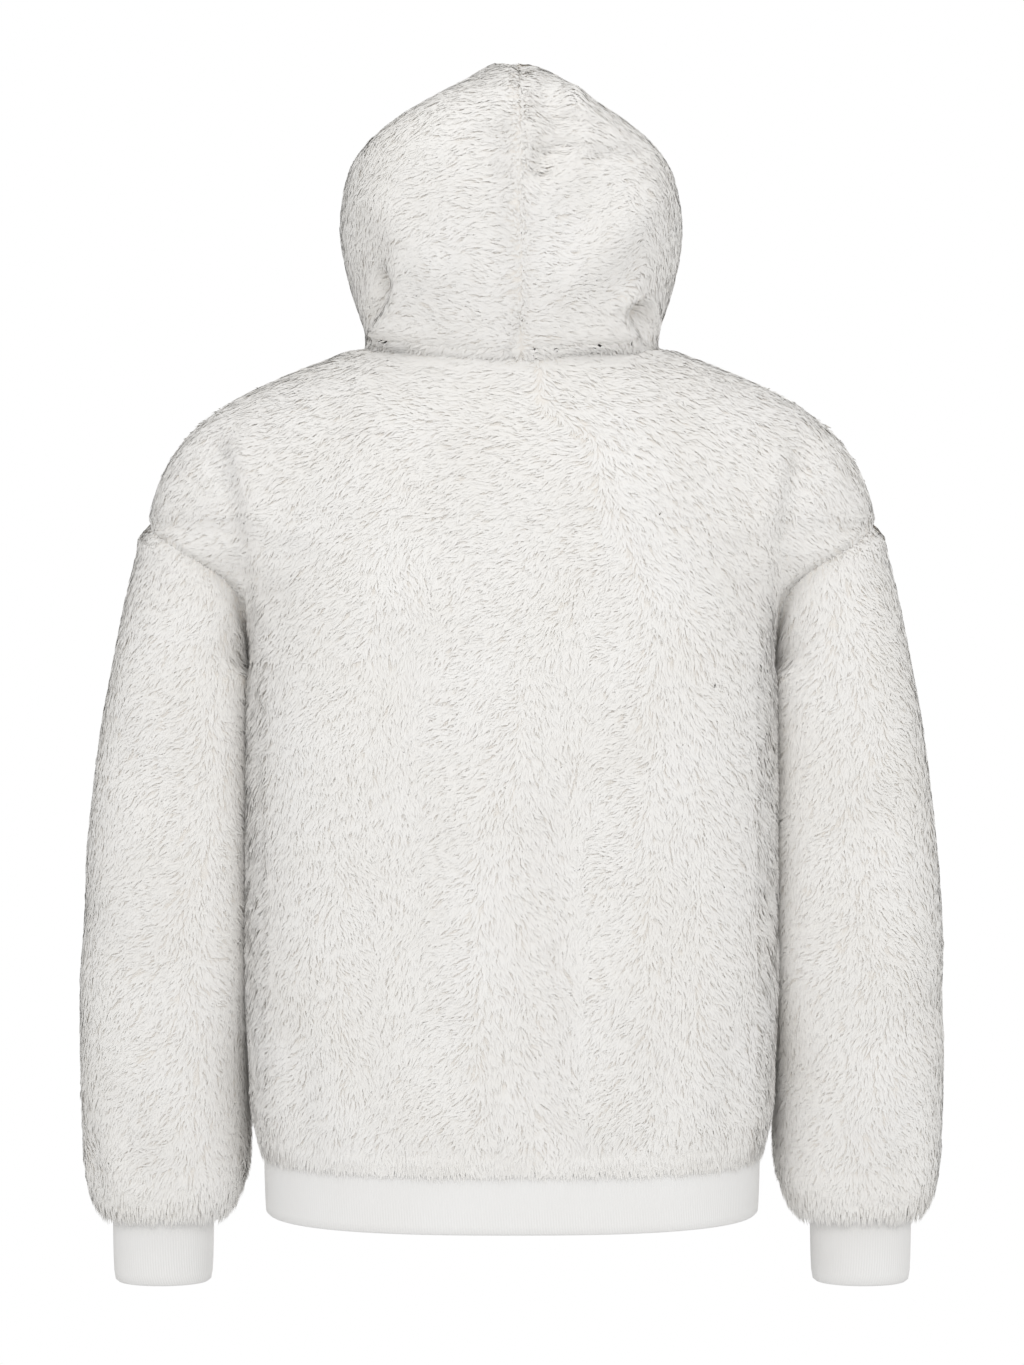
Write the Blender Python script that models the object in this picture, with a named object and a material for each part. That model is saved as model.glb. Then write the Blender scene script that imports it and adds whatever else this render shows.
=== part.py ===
"""Hooded sweatshirt in long-pile fleece, filled out as if worn, with rib cuffs and a rib hem band.

Metres, +Z up. The back faces +Y, the wearer's left is +X. The origin is the middle of the
neckline, level with the top of the shoulders, where the garment is held up.
Each cut piece is one hollow-sided solid: an outer face, an inner face and the edges between them.
"""
import math

import bmesh
import bpy
import numpy as np

# Driving sizes
FLEECE_WALL = 0.010
RIB_WALL = 0.003
SEAM_GAP = 0.0003
PILE_DIP = 0.004
NECK_HALF_WIDTH = 0.120
NECK_BACK = 0.102
NECK_FRONT = 0.117
NECK_SQUARENESS = 2.2
SHOULDER_TIP_Z = -0.136
ARMPIT_Z = -0.252
SLEEVE_LEVEL_Z = -0.300
HEM_SEAM_Z = -0.630
HEM_BOTTOM_Z = -0.685
CUFF_TOP_Z = -0.686
CUFF_BOTTOM_Z = -0.750
BAND_INSET = 0.0045

# Mesh density
BACK_HALF_COLUMNS = 16
FRONT_HALF_COLUMNS = 10
ARMHOLE_STEPS = 10
YOKE_ROWS = 7
HOOD_ROWS = 13
SLEEVE_TOP_ROWS = 4
HEM_BAND_COLUMNS = 60
DENSE = 181
SHARP_DEGREES = 40

# Folds fade out over this many cells beside a seam
FADE_CELLS = 2.0
# Any slanting direction puts a seam's points in one order for the pieces on both sides
SEAM_ORDER = np.array((0.11, 0.31, 0.94))

FLEECE_COLOUR = (0.83, 0.81, 0.78)
RIB_COLOUR = (0.85, 0.83, 0.81)


def table(columns, *rows):
    """A short table as one array for each named column."""
    return dict(zip(columns.split(), np.array(rows, dtype=float).T))


TORSO = table(
    "z half_width back front squareness",
    (-0.630, 0.2010, 0.140, 0.136, 2.6),
    (-0.612, 0.2055, 0.144, 0.140, 2.6),
    (-0.560, 0.2080, 0.147, 0.142, 2.7),
    (-0.420, 0.2085, 0.149, 0.142, 2.8),
    (-0.252, 0.2075, 0.148, 0.138, 2.8),
    (-0.136, 0.2030, 0.138, 0.127, 2.6),
)
# How fast a chest row climbs to the armhole, and how closely its end is drawn to the seam
CHEST_CLIMB = 4
CHEST_END_PULL = 8
BODY_ROW_Z = (-0.630, -0.612, -0.575, -0.520, -0.455, -0.385, -0.315, -0.252)

# Sections up past the armpit: where each leaves the torso's curve, the bottom of the fold beside
# the arm, where it joins the arm's curve, and how widely the fold is rounded
CHEST_SECTIONS = table(
    "z torso_stop fold_x fold_y arm_start rounding",
    (-0.315, 0, 0.0000, 0.000, 0, 0.004),
    (-0.252, 0, 0.0000, 0.000, 0, 0.004),
    (-0.222, 18, 0.2085, 0.042, 0, 0.006),
    (-0.192, 32, 0.2095, 0.060, 0, 0.010),
    (-0.164, 40, 0.2130, 0.073, 95, 0.013),
    (-0.136, 44, 0.2160, 0.083, 82, 0.016),
)

ARM = table(
    "z middle_x middle_y half_width half_depth",
    (-0.136, 0.2500, -0.004, 0.0420, 0.060),
    (-0.150, 0.2525, -0.004, 0.0465, 0.061),
    (-0.168, 0.2545, -0.004, 0.0485, 0.062),
    (-0.200, 0.2590, -0.004, 0.0515, 0.063),
    (-0.252, 0.2647, -0.004, 0.0557, 0.064),
    (-0.300, 0.2700, -0.006, 0.0593, 0.064),
    (-0.360, 0.2740, -0.009, 0.0633, 0.064),
    (-0.440, 0.2782, -0.014, 0.0671, 0.063),
    (-0.520, 0.2797, -0.019, 0.0686, 0.062),
    (-0.600, 0.2797, -0.025, 0.0686, 0.060),
    (-0.650, 0.2797, -0.029, 0.0674, 0.057),
)
ARM_OUTER_SQUARENESS = 2.05
ARM_INNER_SQUARENESS = 2.7
ARM_MIDDLE_RADIUS = 0.063
SLEEVE_ROW_Z = (-0.338, -0.380, -0.424, -0.470, -0.516, -0.562, -0.608, -0.650)

# Sleeve folds keep clear of the side against the body, by share of the way round
SLEEVE_BODY_SIDE = 1.3
SLEEVE_BODY_EASE = 5.0

# The sleeve's end turns in under itself to meet the cuff, which is 0 in the fullness column
SLEEVE_TURN = table(
    "z fullness",
    (-0.668, 0.91),
    (-0.682, 0.72),
    (-0.690, 0.48),
    (-0.6945, 0.22),
    (-0.6955, 0.00),
)
CUFF = {"middle_x": 0.2822, "middle_y": -0.031, "half_width": 0.0408, "half_depth": 0.031}

# Rings of the rib bands: height, and how far the ring is drawn in or let out
CUFF_RINGS = ((CUFF_TOP_Z, 0.0), (-0.706, 0.0), (-0.730, -0.0005), (CUFF_BOTTOM_Z, -0.0012))
HEM_RINGS = ((HEM_SEAM_Z - SEAM_GAP, 0.0), (-0.645, 0.0006), (-0.668, 0.0), (HEM_BOTTOM_Z, -0.0012))

# The armhole seam, round from the shoulder tip over the back to the armpit and up the front
ARMHOLE = table(
    "angle x y z",
    (0, 0.2920, -0.004, -0.136),
    (41, 0.2840, 0.034, -0.146),
    (79, 0.2620, 0.056, -0.162),
    (111, 0.2370, 0.058, -0.178),
    (136, 0.2170, 0.046, -0.198),
    (158, 0.2095, 0.024, -0.231),
    (180, 0.2084, -0.002, -0.252),
    (202, 0.2095, -0.029, -0.233),
    (224, 0.2170, -0.052, -0.200),
    (249, 0.2370, -0.064, -0.179),
    (281, 0.2620, -0.062, -0.163),
    (319, 0.2840, -0.040, -0.146),
    (360, 0.2920, -0.004, -0.136),
)

NECK_HEIGHT = table(
    "angle z",
    (0, -0.018),
    (45, -0.009),
    (90, 0.000),
    (135, -0.036),
    (180, -0.085),
)

# How a yoke leaves the chest row and arrives at the neck, at the middle and along the shoulder
YOKE_LEAVE_SIDE = np.array((-0.040, 0.0, 0.235))
YOKE_ARRIVE_SIDE = np.array((-0.310, 0.0, 0.090))
YOKE_LEAVE_BACK = np.array((0.0, -0.012, 0.115))
YOKE_ARRIVE_BACK = np.array((0.0, -0.045, 0.115))
YOKE_LEAVE_FRONT = np.array((0.0, 0.004, 0.050))
YOKE_ARRIVE_FRONT = np.array((0.0, 0.014, 0.050))
YOKE_SPREAD = 1.5

# Walls under the arm lean down: how much, and from what share of the armhole
ARMPIT_LEAN = np.array((0.0, 0.0, -1.4))
ARMPIT_LEAN_START = 0.55

# Hood rows from just above the neck to the crown's front: middle seam, widest place, face edge
HOOD = table(
    "back_y back_z half_width wide_y wide_z edge_x edge_y edge_z",
    (0.109, 0.000, 0.1185, 0.002, 0.014, 0.022, -0.115, -0.068),
    (0.118, 0.028, 0.1240, 0.004, 0.029, 0.047, -0.112, -0.042),
    (0.127, 0.062, 0.1320, 0.006, 0.055, 0.072, -0.108, -0.002),
    (0.131, 0.100, 0.1375, 0.010, 0.088, 0.087, -0.105, 0.050),
    (0.130, 0.135, 0.1350, 0.014, 0.118, 0.091, -0.104, 0.098),
    (0.123, 0.163, 0.1260, 0.018, 0.145, 0.086, -0.104, 0.134),
    (0.109, 0.187, 0.1050, 0.021, 0.167, 0.073, -0.105, 0.160),
    (0.085, 0.206, 0.0765, 0.020, 0.184, 0.056, -0.106, 0.180),
    (0.051, 0.220, 0.0515, 0.010, 0.199, 0.040, -0.107, 0.194),
    (0.008, 0.229, 0.0335, -0.015, 0.213, 0.026, -0.107, 0.204),
    (-0.045, 0.227, 0.0230, -0.055, 0.218, 0.015, -0.107, 0.210),
    (-0.092, 0.217, 0.0140, -0.095, 0.214, 0.009, -0.107, 0.213),
)
HOOD_SQUARENESS = 2.25
HOOD_SIDE_BEND = 2.3
HOOD_SIDE_DROP = 1.5
HOOD_TOP_LEAN = 0.004
HOOD_TOP_Z = 0.230
# Hood folds start this far behind the middle and are full after the second length
HOOD_FOLD_START_Y = 0.020
HOOD_FOLD_EASE = 0.030
# How much the front of the crown's wall leans out to each side
CROWN_SPREAD = 20.0

# Soft troughs (minus) and rolls (plus) in the cloth, as paths of x, z seen from behind or from the front
FOLDS = (
    # face, width, depth at start, depth at end, path
    ("back", 0.020, -0.014, -0.002, ((0.203, -0.235), (0.209, -0.180), (0.219, -0.125), (0.231, -0.075))),
    ("back", 0.020, -0.014, -0.002, ((-0.203, -0.235), (-0.208, -0.185), (-0.216, -0.130), (-0.224, -0.085))),
    ("back", 0.024, -0.005, -0.003, ((0.060, -0.100), (0.066, -0.175))),
    ("back", 0.030, -0.004, -0.003, ((0.096, -0.250), (0.118, -0.285))),
    ("back", 0.022, 0.004, 0.004, ((0.040, -0.360), (0.036, -0.500))),
    ("back", 0.018, -0.004, -0.008, ((-0.018, -0.385), (-0.024, -0.500), (-0.026, -0.625))),
    ("back", 0.020, 0.004, 0.003, ((-0.060, -0.500), (-0.064, -0.590))),
    ("back", 0.013, -0.002, -0.006, ((0.030, -0.560), (0.024, -0.625))),
    ("back", 0.014, -0.002, -0.006, ((-0.106, -0.545), (-0.114, -0.625))),
    ("back", 0.014, -0.001, -0.005, ((0.098, -0.560), (0.104, -0.625))),
    ("back", 0.014, -0.002, -0.005, ((0.165, -0.540), (0.160, -0.625))),
    ("back", 0.014, -0.002, -0.005, ((-0.170, -0.550), (-0.166, -0.625))),
    ("front", 0.024, -0.010, -0.002, ((0.200, -0.235), (0.190, -0.165), (0.172, -0.100))),
    ("front", 0.024, -0.010, -0.002, ((-0.200, -0.235), (-0.192, -0.170), (-0.178, -0.105))),
    ("front", 0.026, -0.003, -0.007, ((0.050, -0.430), (0.062, -0.625))),
    ("front", 0.026, -0.003, -0.007, ((-0.078, -0.470), (-0.070, -0.625))),
    ("front", 0.024, -0.002, -0.006, ((0.140, -0.520), (0.136, -0.625))),
    ("front", 0.024, -0.002, -0.006, ((-0.150, -0.500), (-0.144, -0.625))),
    ("front", 0.026, -0.002, -0.005, ((-0.006, -0.520), (-0.002, -0.625))),
    ("back", 0.016, -0.011, -0.005, ((0.112, 0.018), (0.109, 0.038), (0.103, 0.056))),
    ("back", 0.016, -0.006, -0.012, ((-0.112, 0.008), (-0.104, 0.030))),
    ("back", 0.016, 0.004, 0.002, ((0.098, 0.068), (0.064, 0.100), (0.048, 0.124))),
    ("back", 0.016, 0.005, 0.003, ((-0.100, 0.056), (-0.066, 0.090), (-0.036, 0.118))),
    ("back", 0.010, -0.006, -0.003, ((-0.012, 0.138), (-0.036, 0.145))),
)
SLEEVE_FOLDS = (
    # side, width, depth at start, depth at end, path of angle in degrees and z
    (1, 0.022, -0.004, -0.003, ((60, -0.330), (95, -0.350))),
    (1, 0.026, -0.005, -0.002, ((20, -0.450), (80, -0.490))),
    (1, 0.016, -0.003, -0.006, ((70, -0.610), (78, -0.660))),
    (1, 0.016, -0.002, -0.005, ((30, -0.620), (34, -0.660))),
    (1, 0.022, -0.006, -0.004, ((300, -0.400), (255, -0.430))),
    (-1, 0.024, -0.005, -0.003, ((75, -0.370), (110, -0.400))),
    (-1, 0.024, -0.004, -0.003, ((25, -0.520), (80, -0.550))),
    (-1, 0.016, -0.003, -0.006, ((60, -0.615), (64, -0.660))),
    (-1, 0.016, -0.002, -0.005, ((95, -0.620), (92, -0.660))),
    (-1, 0.022, -0.006, -0.004, ((310, -0.420), (260, -0.440))),
)


def smooth(keys, values, wanted):
    """A smooth curve through a table's values, read at the wanted keys."""
    wanted = np.clip(wanted, keys.min(), keys.max())
    order = np.argsort(keys)
    keys = keys[order]
    values = values[order]
    steps = np.diff(keys)
    chords = np.diff(values) / steps
    slopes = np.empty_like(values)
    slopes[0] = chords[0]
    slopes[-1] = chords[-1]
    slopes[1:-1] = (chords[:-1] * steps[1:] + chords[1:] * steps[:-1]) / (steps[1:] + steps[:-1])
    place = np.clip(np.searchsorted(keys, wanted, side="right") - 1, 0, len(keys) - 2)
    step = steps[place]
    t = (wanted - keys[place]) / step
    first = values[place] * (1 + 2 * t) * (1 - t) ** 2 + slopes[place] * step * t * (1 - t) ** 2
    second = values[place + 1] * t ** 2 * (3 - 2 * t) - slopes[place + 1] * step * t ** 2 * (1 - t)
    return first + second


def read(source, key, wanted):
    """Every other column of a table, smoothly, at the wanted key."""
    return {name: smooth(source[key], source[name], wanted) for name in source if name != key}


def unit(vectors):
    """Vectors scaled to length one."""
    return vectors / np.maximum(np.linalg.norm(vectors, axis=-1, keepdims=True), 1e-12)


def resample(points, fractions):
    """Points at the given fractions of a polyline's length."""
    lengths = np.linalg.norm(np.diff(points, axis=0), axis=1)
    along = np.concatenate(([0.0], np.cumsum(lengths)))
    wanted = np.asarray(fractions) * along[-1]
    return np.stack([np.interp(wanted, along, column) for column in points.T], axis=1)


def superellipse(angle, half_width, half_depth, squareness):
    """Plan of a rounded tube; the angle is in radians, from +X toward +Y."""
    power = 2.0 / squareness
    cosine = np.cos(angle)
    sine = np.sin(angle)
    x = half_width * np.sign(cosine) * np.abs(cosine) ** power
    y = half_depth * np.sign(sine) * np.abs(sine) ** power
    return x, y


def arm_plan(angle, z):
    """Plan of a filled left sleeve at a height, flatter on the side against the body."""
    size = read(ARM, "z", z)
    squareness = np.where(np.cos(angle) > 0, ARM_OUTER_SQUARENESS, ARM_INNER_SQUARENESS)
    x, y = superellipse(angle, size["half_width"], size["half_depth"], squareness)
    return size["middle_x"] + x, size["middle_y"] + y


def cuff_plan(angle, spare):
    """Plan of the left cuff's outer face, grown by the spare."""
    x, y = superellipse(angle, CUFF["half_width"] + spare, CUFF["half_depth"] + spare, 2.0)
    return CUFF["middle_x"] + x, CUFF["middle_y"] + y


def armhole_points(degrees):
    """The armhole seam at the given angles."""
    degrees = np.asarray(degrees, dtype=float)
    return np.stack([smooth(ARMHOLE["angle"], ARMHOLE[name], degrees) for name in "xyz"], axis=-1)


def neck_points(fractions, back):
    """The neck seam's left half from the middle (0) to the shoulder seam (1), by length."""
    degrees = np.linspace(0, 90, DENSE) if back else np.linspace(180, 90, DENSE)
    depth = NECK_BACK if back else NECK_FRONT
    x, y = superellipse(np.radians(90 - degrees), NECK_HALF_WIDTH, depth, NECK_SQUARENESS)
    z = smooth(NECK_HEIGHT["angle"], NECK_HEIGHT["z"], degrees)
    return resample(np.stack((x, y, z), axis=1), fractions)


def half_section(z, end, back, torso_stop=0, fold=None, arm_start=0, rounding=0.004):
    """Left half of the body's level section: middle, round the torso and over the arm to its end point."""
    size = read(TORSO, "z", z)
    turn = 1.0 if back else -1.0
    depth = size["back"] if back else size["front"]
    stop = max(math.radians(torso_stop), math.asin(min(max(end[1] * turn / depth, 0), 1)))
    corners = np.stack(superellipse(np.linspace(math.pi / 2, stop, DENSE), size["half_width"], depth,
                                    size["squareness"]), axis=1)
    if fold is not None:
        corners = np.vstack((corners, fold))
    if arm_start > 0:
        arm = read(ARM, "z", z)
        middle_y = arm["middle_y"] * turn
        seam_angle = math.atan2((end[1] * turn - middle_y) / arm["half_depth"],
                                (end[0] - arm["middle_x"]) / arm["half_width"])
        over = np.linspace(math.radians(arm_start), seam_angle, DENSE)[:-1]
        arc_x = arm["middle_x"] + arm["half_width"] * np.cos(over)
        arc_y = middle_y + arm["half_depth"] * np.sin(over)
        corners = np.vstack((corners, np.column_stack((arc_x, arc_y))))
    corners = np.vstack((corners, (end[0], end[1] * turn)))
    points = resample(corners, np.linspace(0, 1, DENSE))
    step = np.linalg.norm(points[1] - points[0])
    for _ in range(round(2 * (rounding / step) ** 2)):
        points[1:-1] = (points[:-2] + 2 * points[1:-1] + points[2:]) / 4
    return np.stack((points[:, 0], points[:, 1] * turn, np.full(DENSE, z)), axis=1)


def chest_half_rows(fractions, back):
    """Rows from the armpit to the shoulder tip; each ends on the armhole seam."""
    finish = 0 if back else 360
    dense_seam = armhole_points(np.linspace(180, finish, DENSE))
    sections = []
    for z, torso_stop, fold_x, fold_y, arm_start, rounding in zip(*CHEST_SECTIONS.values()):
        if z < ARMPIT_Z:
            end = (float(smooth(TORSO["z"], TORSO["half_width"], z)), 0.0)
        else:
            end = [np.interp(z, dense_seam[:, 2], dense_seam[:, axis]) for axis in (0, 1)]
        fold = (fold_x, fold_y) if torso_stop else None
        section = half_section(z, end, back, torso_stop, fold, arm_start, rounding)
        sections.append(resample(section, fractions)[:, :2])
    sections = np.array(sections)
    rows = []
    for step, seam_point in enumerate(armhole_points(np.linspace(180, finish, ARMHOLE_STEPS + 1))):
        middle_z = ARMPIT_Z + (SHOULDER_TIP_Z - ARMPIT_Z) * step / ARMHOLE_STEPS
        row = np.empty((len(fractions), 3))
        row[:, 2] = middle_z + (seam_point[2] - middle_z) * fractions ** CHEST_CLIMB
        for column in range(len(fractions)):
            for axis in (0, 1):
                row[column, axis] = smooth(CHEST_SECTIONS["z"], sections[:, column, axis], row[column, 2])
        row += (seam_point - row[-1]) * fractions[:, None] ** CHEST_END_PULL
        rows.append(row)
    return rows


def body_half_rows(columns, back):
    """Left half of the back or front: rows up from the hem, points out from the middle."""
    fractions = np.linspace(0, 1, columns + 1)
    rows = []
    for z in BODY_ROW_Z[:-1]:
        side = (float(smooth(TORSO["z"], TORSO["half_width"], z)), 0.0)
        rows.append(resample(half_section(z, side, back), fractions))
    rows += chest_half_rows(fractions, back)
    chest = rows[-1]
    neck = neck_points(fractions, back)
    share = fractions[:, None] ** YOKE_SPREAD
    leave_middle = YOKE_LEAVE_BACK if back else YOKE_LEAVE_FRONT
    arrive_middle = YOKE_ARRIVE_BACK if back else YOKE_ARRIVE_FRONT
    leave = leave_middle * (1 - share) + YOKE_LEAVE_SIDE * share
    arrive = arrive_middle * (1 - share) + YOKE_ARRIVE_SIDE * share
    for t in np.linspace(0, 1, YOKE_ROWS + 1)[1:]:
        ends = chest * (1 + 2 * t) * (1 - t) ** 2 + neck * t ** 2 * (3 - 2 * t)
        rows.append(ends + leave * t * (1 - t) ** 2 - arrive * t ** 2 * (1 - t))
    return np.array(rows)


def mirrored(points):
    """The same points on the other side of the garment."""
    return points * np.array((-1.0, 1.0, 1.0))


def sleeve_rows():
    """Left sleeve: rings from the armhole down to the cuff, round from the outer side over the back."""
    degrees = np.arange(2 * ARMHOLE_STEPS) * 180.0 / ARMHOLE_STEPS
    angle = np.radians(degrees)
    seam = armhole_points(degrees)
    shift = seam[:, :2] - np.stack(arm_plan(angle, seam[:, 2]), axis=1)
    rows = []
    for t in np.linspace(0, 1, SLEEVE_TOP_ROWS + 1):
        z = seam[:, 2] * (1 - t) + SLEEVE_LEVEL_Z * t
        plan = np.stack(arm_plan(angle, z), axis=1) + shift * (1 - t) ** 2
        rows.append(np.column_stack((plan, z)))
    for z in SLEEVE_ROW_Z:
        rows.append(np.column_stack((*arm_plan(angle, np.full(len(angle), z)), np.full(len(angle), z))))
    full = rows[-1][:, :2]
    cuff = np.stack(cuff_plan(angle, SEAM_GAP), axis=1)
    for z, fullness in zip(SLEEVE_TURN["z"], SLEEVE_TURN["fullness"]):
        rows.append(np.column_stack((cuff + (full - cuff) * fullness, np.full(len(angle), z))))
    return np.array(rows)


def hood_half_rows():
    """Left half of the hood: rows up from the neck seam, points from the middle seam to the face edge."""
    back_part = neck_points(np.linspace(0, 1, BACK_HALF_COLUMNS + 1), True)
    front_part = neck_points(np.linspace(1, 0, FRONT_HALF_COLUMNS + 1), False)
    neck = np.concatenate((back_part, front_part[1:]))
    columns = len(neck)
    shoulder_share = BACK_HALF_COLUMNS / (columns - 1)
    spread = np.linspace(0, 1, columns)
    control = [neck]
    for row in zip(*HOOD.values()):
        back_y, back_z, half_width, wide_y, wide_z, edge_x, edge_y, edge_z = row
        quarter = np.linspace(math.pi / 2, 0, DENSE)
        x, y = superellipse(quarter, half_width, back_y - wide_y, HOOD_SQUARENESS)
        rise = np.sin(quarter) ** 2
        rear = np.column_stack((x, wide_y + y, wide_z + (back_z - wide_z) * rise))
        t = np.linspace(0, 1, DENSE)
        face = np.column_stack((
            half_width - (half_width - edge_x) * t ** HOOD_SIDE_BEND,
            wide_y + (edge_y - wide_y) * t,
            wide_z + (edge_z - wide_z) * t ** HOOD_SIDE_DROP,
        ))
        rear = resample(rear, spread[spread <= shoulder_share] / shoulder_share)
        face = resample(face, (spread[spread > shoulder_share] - shoulder_share) / (1 - shoulder_share))
        control.append(np.concatenate((rear, face)))
    control = np.array(control)
    keys = np.linspace(0, 1, len(control))
    wanted = np.linspace(0, 1, HOOD_ROWS + 1)
    rows = np.empty((HOOD_ROWS + 1, columns, 3))
    for column in range(columns):
        for axis in range(3):
            rows[:, column, axis] = smooth(keys, control[:, column, axis], wanted)
    return rows


def grid_normals(grid, ring, outward):
    """Unit normals of a grid of points, turned to the side of the outward hint."""
    along = np.gradient(grid, axis=0)
    if ring:
        across = (np.roll(grid, -1, axis=1) - np.roll(grid, 1, axis=1)) / 2
    else:
        across = np.gradient(grid, axis=1)
    normals = unit(np.cross(along, across))
    middle = normals[len(grid) // 2, grid.shape[1] // 4]
    return normals if np.dot(middle, outward) > 0 else -normals


def path_effect(flat, width, start, end, path):
    """Height of one soft trough or roll at flat points, easing out past both ends."""
    path = np.array(path)
    best = np.full(flat.shape[:-1], 1e9)
    amount = np.zeros(flat.shape[:-1])
    pieces = len(path) - 1
    for index in range(pieces):
        base = path[index]
        run = path[index + 1] - base
        t = np.clip(((flat - base) @ run) / (run @ run), 0, 1)
        away = np.linalg.norm(flat - base - t[..., None] * run, axis=-1)
        nearer = away < best
        best = np.where(nearer, away, best)
        amount = np.where(nearer, start + (end - start) * (index + t) / pieces, amount)
    return amount * np.exp(-((best / width) ** 2))


def fold_lift(grid, face):
    """Sum of the body and hood folds at each point of a grid."""
    lift = np.zeros(grid.shape[:-1])
    flat = grid[..., (0, 2)]
    for side, width, start, end, path in FOLDS:
        if side == face:
            lift += path_effect(flat, width, start, end, path)
    return lift


def sleeve_fold_lift(grid, side):
    """Sum of a sleeve's folds; angles become lengths round an arm of middling size."""
    rows, columns = grid.shape[:2]
    turn = np.arange(columns) * 2 * math.pi / columns
    length = np.broadcast_to(turn * ARM_MIDDLE_RADIUS, (rows, columns))
    flat = np.stack((length, grid[..., 2]), axis=-1)
    lift = np.zeros((rows, columns))
    for place, width, start, end, path in SLEEVE_FOLDS:
        if place == side:
            scaled = [(math.radians(angle) * ARM_MIDDLE_RADIUS, z) for angle, z in path]
            lift += path_effect(flat, width, start, end, scaled)
    return lift


def edge_fade(count, first, last):
    """One inside a grid, nought on the edges that are seams."""
    place = np.arange(count)
    fade = np.ones(count)
    if first:
        fade *= np.clip(place / FADE_CELLS, 0, 1)
    if last:
        fade *= np.clip((count - 1 - place) / FADE_CELLS, 0, 1)
    return fade


class Piece:
    """One cut piece: a grid of outer points, normals, and how far each point gives way at seams."""

    def __init__(self, name, grid, ring, outward):
        self.name = name
        self.grid = grid
        self.ring = ring
        self.outward = np.array(outward, dtype=float)
        self.normals = grid_normals(grid, ring, self.outward)
        self.give = np.zeros_like(grid)
        self.dip = np.zeros(grid.shape[:2])

    def lift(self, height):
        """Move the points along their normals, then find the normals again."""
        self.grid = self.grid + self.normals * height[..., None]
        self.normals = grid_normals(self.grid, self.ring, self.outward)

    def level_edge(self, row, direction=None):
        """Make an end row's wall level, or square to a direction."""
        if direction is None:
            self.normals[row, :, 2] = 0
            self.normals[row] = unit(self.normals[row])
        else:
            self.normals[row] = direction

    def edge(self, cells):
        """Rows and columns of an edge, as index arrays."""
        return np.array([cell[0] for cell in cells]), np.array([cell[1] for cell in cells])


def seam(first, first_cells, second, second_cells, lean=None):
    """Join two pieces' edges: one shared normal at each point, each piece held back half the gap."""
    a = first.edge(first_cells)
    b = second.edge(second_cells)
    points = first.grid[a]
    normal = first.normals[a] + second.normals[b]
    if lean is not None:
        normal = normal + lean
    normal = unit(normal)
    along = unit(np.gradient(points, axis=0))
    across = unit(np.cross(along, normal))
    second.grid[b] = points
    for piece, cells in ((first, a), (second, b)):
        piece.normals[cells] = normal
        piece.dip[cells] = PILE_DIP
    return a, b, across


def hold_back(piece, cells, across, sign):
    """Give way at a seam by half the gap, to one side of it."""
    np.add.at(piece.give, cells, across * sign * SEAM_GAP / 2)


def share_normal(*corners):
    """Pieces that meet at one point use one normal there."""
    total = unit(sum(piece.normals[row, column] for piece, row, column in corners))
    for piece, row, column in corners:
        piece.normals[row, column] = total


def fabric(name, colour, roughness):
    """Plain cloth material."""
    material = bpy.data.materials.new(name)
    material.use_nodes = True
    shader = material.node_tree.nodes["Principled BSDF"]
    shader.inputs["Base Color"].default_value = (*colour, 1.0)
    shader.inputs["Roughness"].default_value = roughness
    shader.inputs["Metallic"].default_value = 0.0
    return material


def edge_face(mesh, outer_a, outer_b, inner_a, inner_b, a_leads):
    """Two triangles on a wall's edge, cut the same way on both sides of a seam."""
    if a_leads:
        mesh.faces.new((outer_a, outer_b, inner_b))
        mesh.faces.new((outer_a, inner_b, inner_a))
    else:
        mesh.faces.new((outer_a, outer_b, inner_a))
        mesh.faces.new((outer_b, inner_b, inner_a))


def wall_object(piece, wall, material):
    """Build a piece's closed wall as one object."""
    rows, columns = piece.grid.shape[:2]
    outer = piece.grid + piece.give - piece.normals * piece.dip[..., None]
    inner = piece.grid + piece.give - piece.normals * wall
    mesh = bmesh.new()
    outer_verts = [[mesh.verts.new(point) for point in row] for row in outer]
    inner_verts = [[mesh.verts.new(point) for point in row] for row in inner]
    last = columns if piece.ring else columns - 1
    for row in range(rows - 1):
        for column in range(last):
            after = (column + 1) % columns
            for verts in (outer_verts, inner_verts):
                near = verts[row]
                far = verts[row + 1]
                mesh.faces.new((near[column], near[after], far[after], far[column]))
    edges = []
    for row in (0, rows - 1):
        edges += [((row, column), (row, (column + 1) % columns)) for column in range(last)]
    if not piece.ring:
        for column in (0, columns - 1):
            edges += [((row, column), (row + 1, column)) for row in range(rows - 1)]
    rank = piece.grid @ SEAM_ORDER
    for start, end in edges:
        ends = (outer_verts[start[0]][start[1]], outer_verts[end[0]][end[1]],
                inner_verts[start[0]][start[1]], inner_verts[end[0]][end[1]])
        edge_face(mesh, *ends, rank[start] > rank[end])
    bmesh.ops.recalc_face_normals(mesh, faces=mesh.faces)
    data = bpy.data.meshes.new(piece.name)
    mesh.to_mesh(data)
    mesh.free()
    data.materials.append(material)
    data.shade_smooth()
    data.set_sharp_from_angle(angle=math.radians(SHARP_DEGREES))
    thing = bpy.data.objects.new(piece.name, data)
    bpy.context.scene.collection.objects.link(thing)
    return thing


def body_piece(name, columns, back):
    """The back or the front, from the wearer's right edge to the left edge."""
    half = body_half_rows(columns, back)
    grid = np.concatenate((mirrored(half[:, :0:-1]), half), axis=1)
    piece = Piece(name, grid, False, (0, 1 if back else -1, 0))
    rows, width = grid.shape[:2]
    fade = edge_fade(rows, False, True)[:, None] * edge_fade(width, True, True)[None, :]
    piece.lift(fold_lift(grid, "back" if back else "front") * fade)
    piece.level_edge(0)
    return piece


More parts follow.
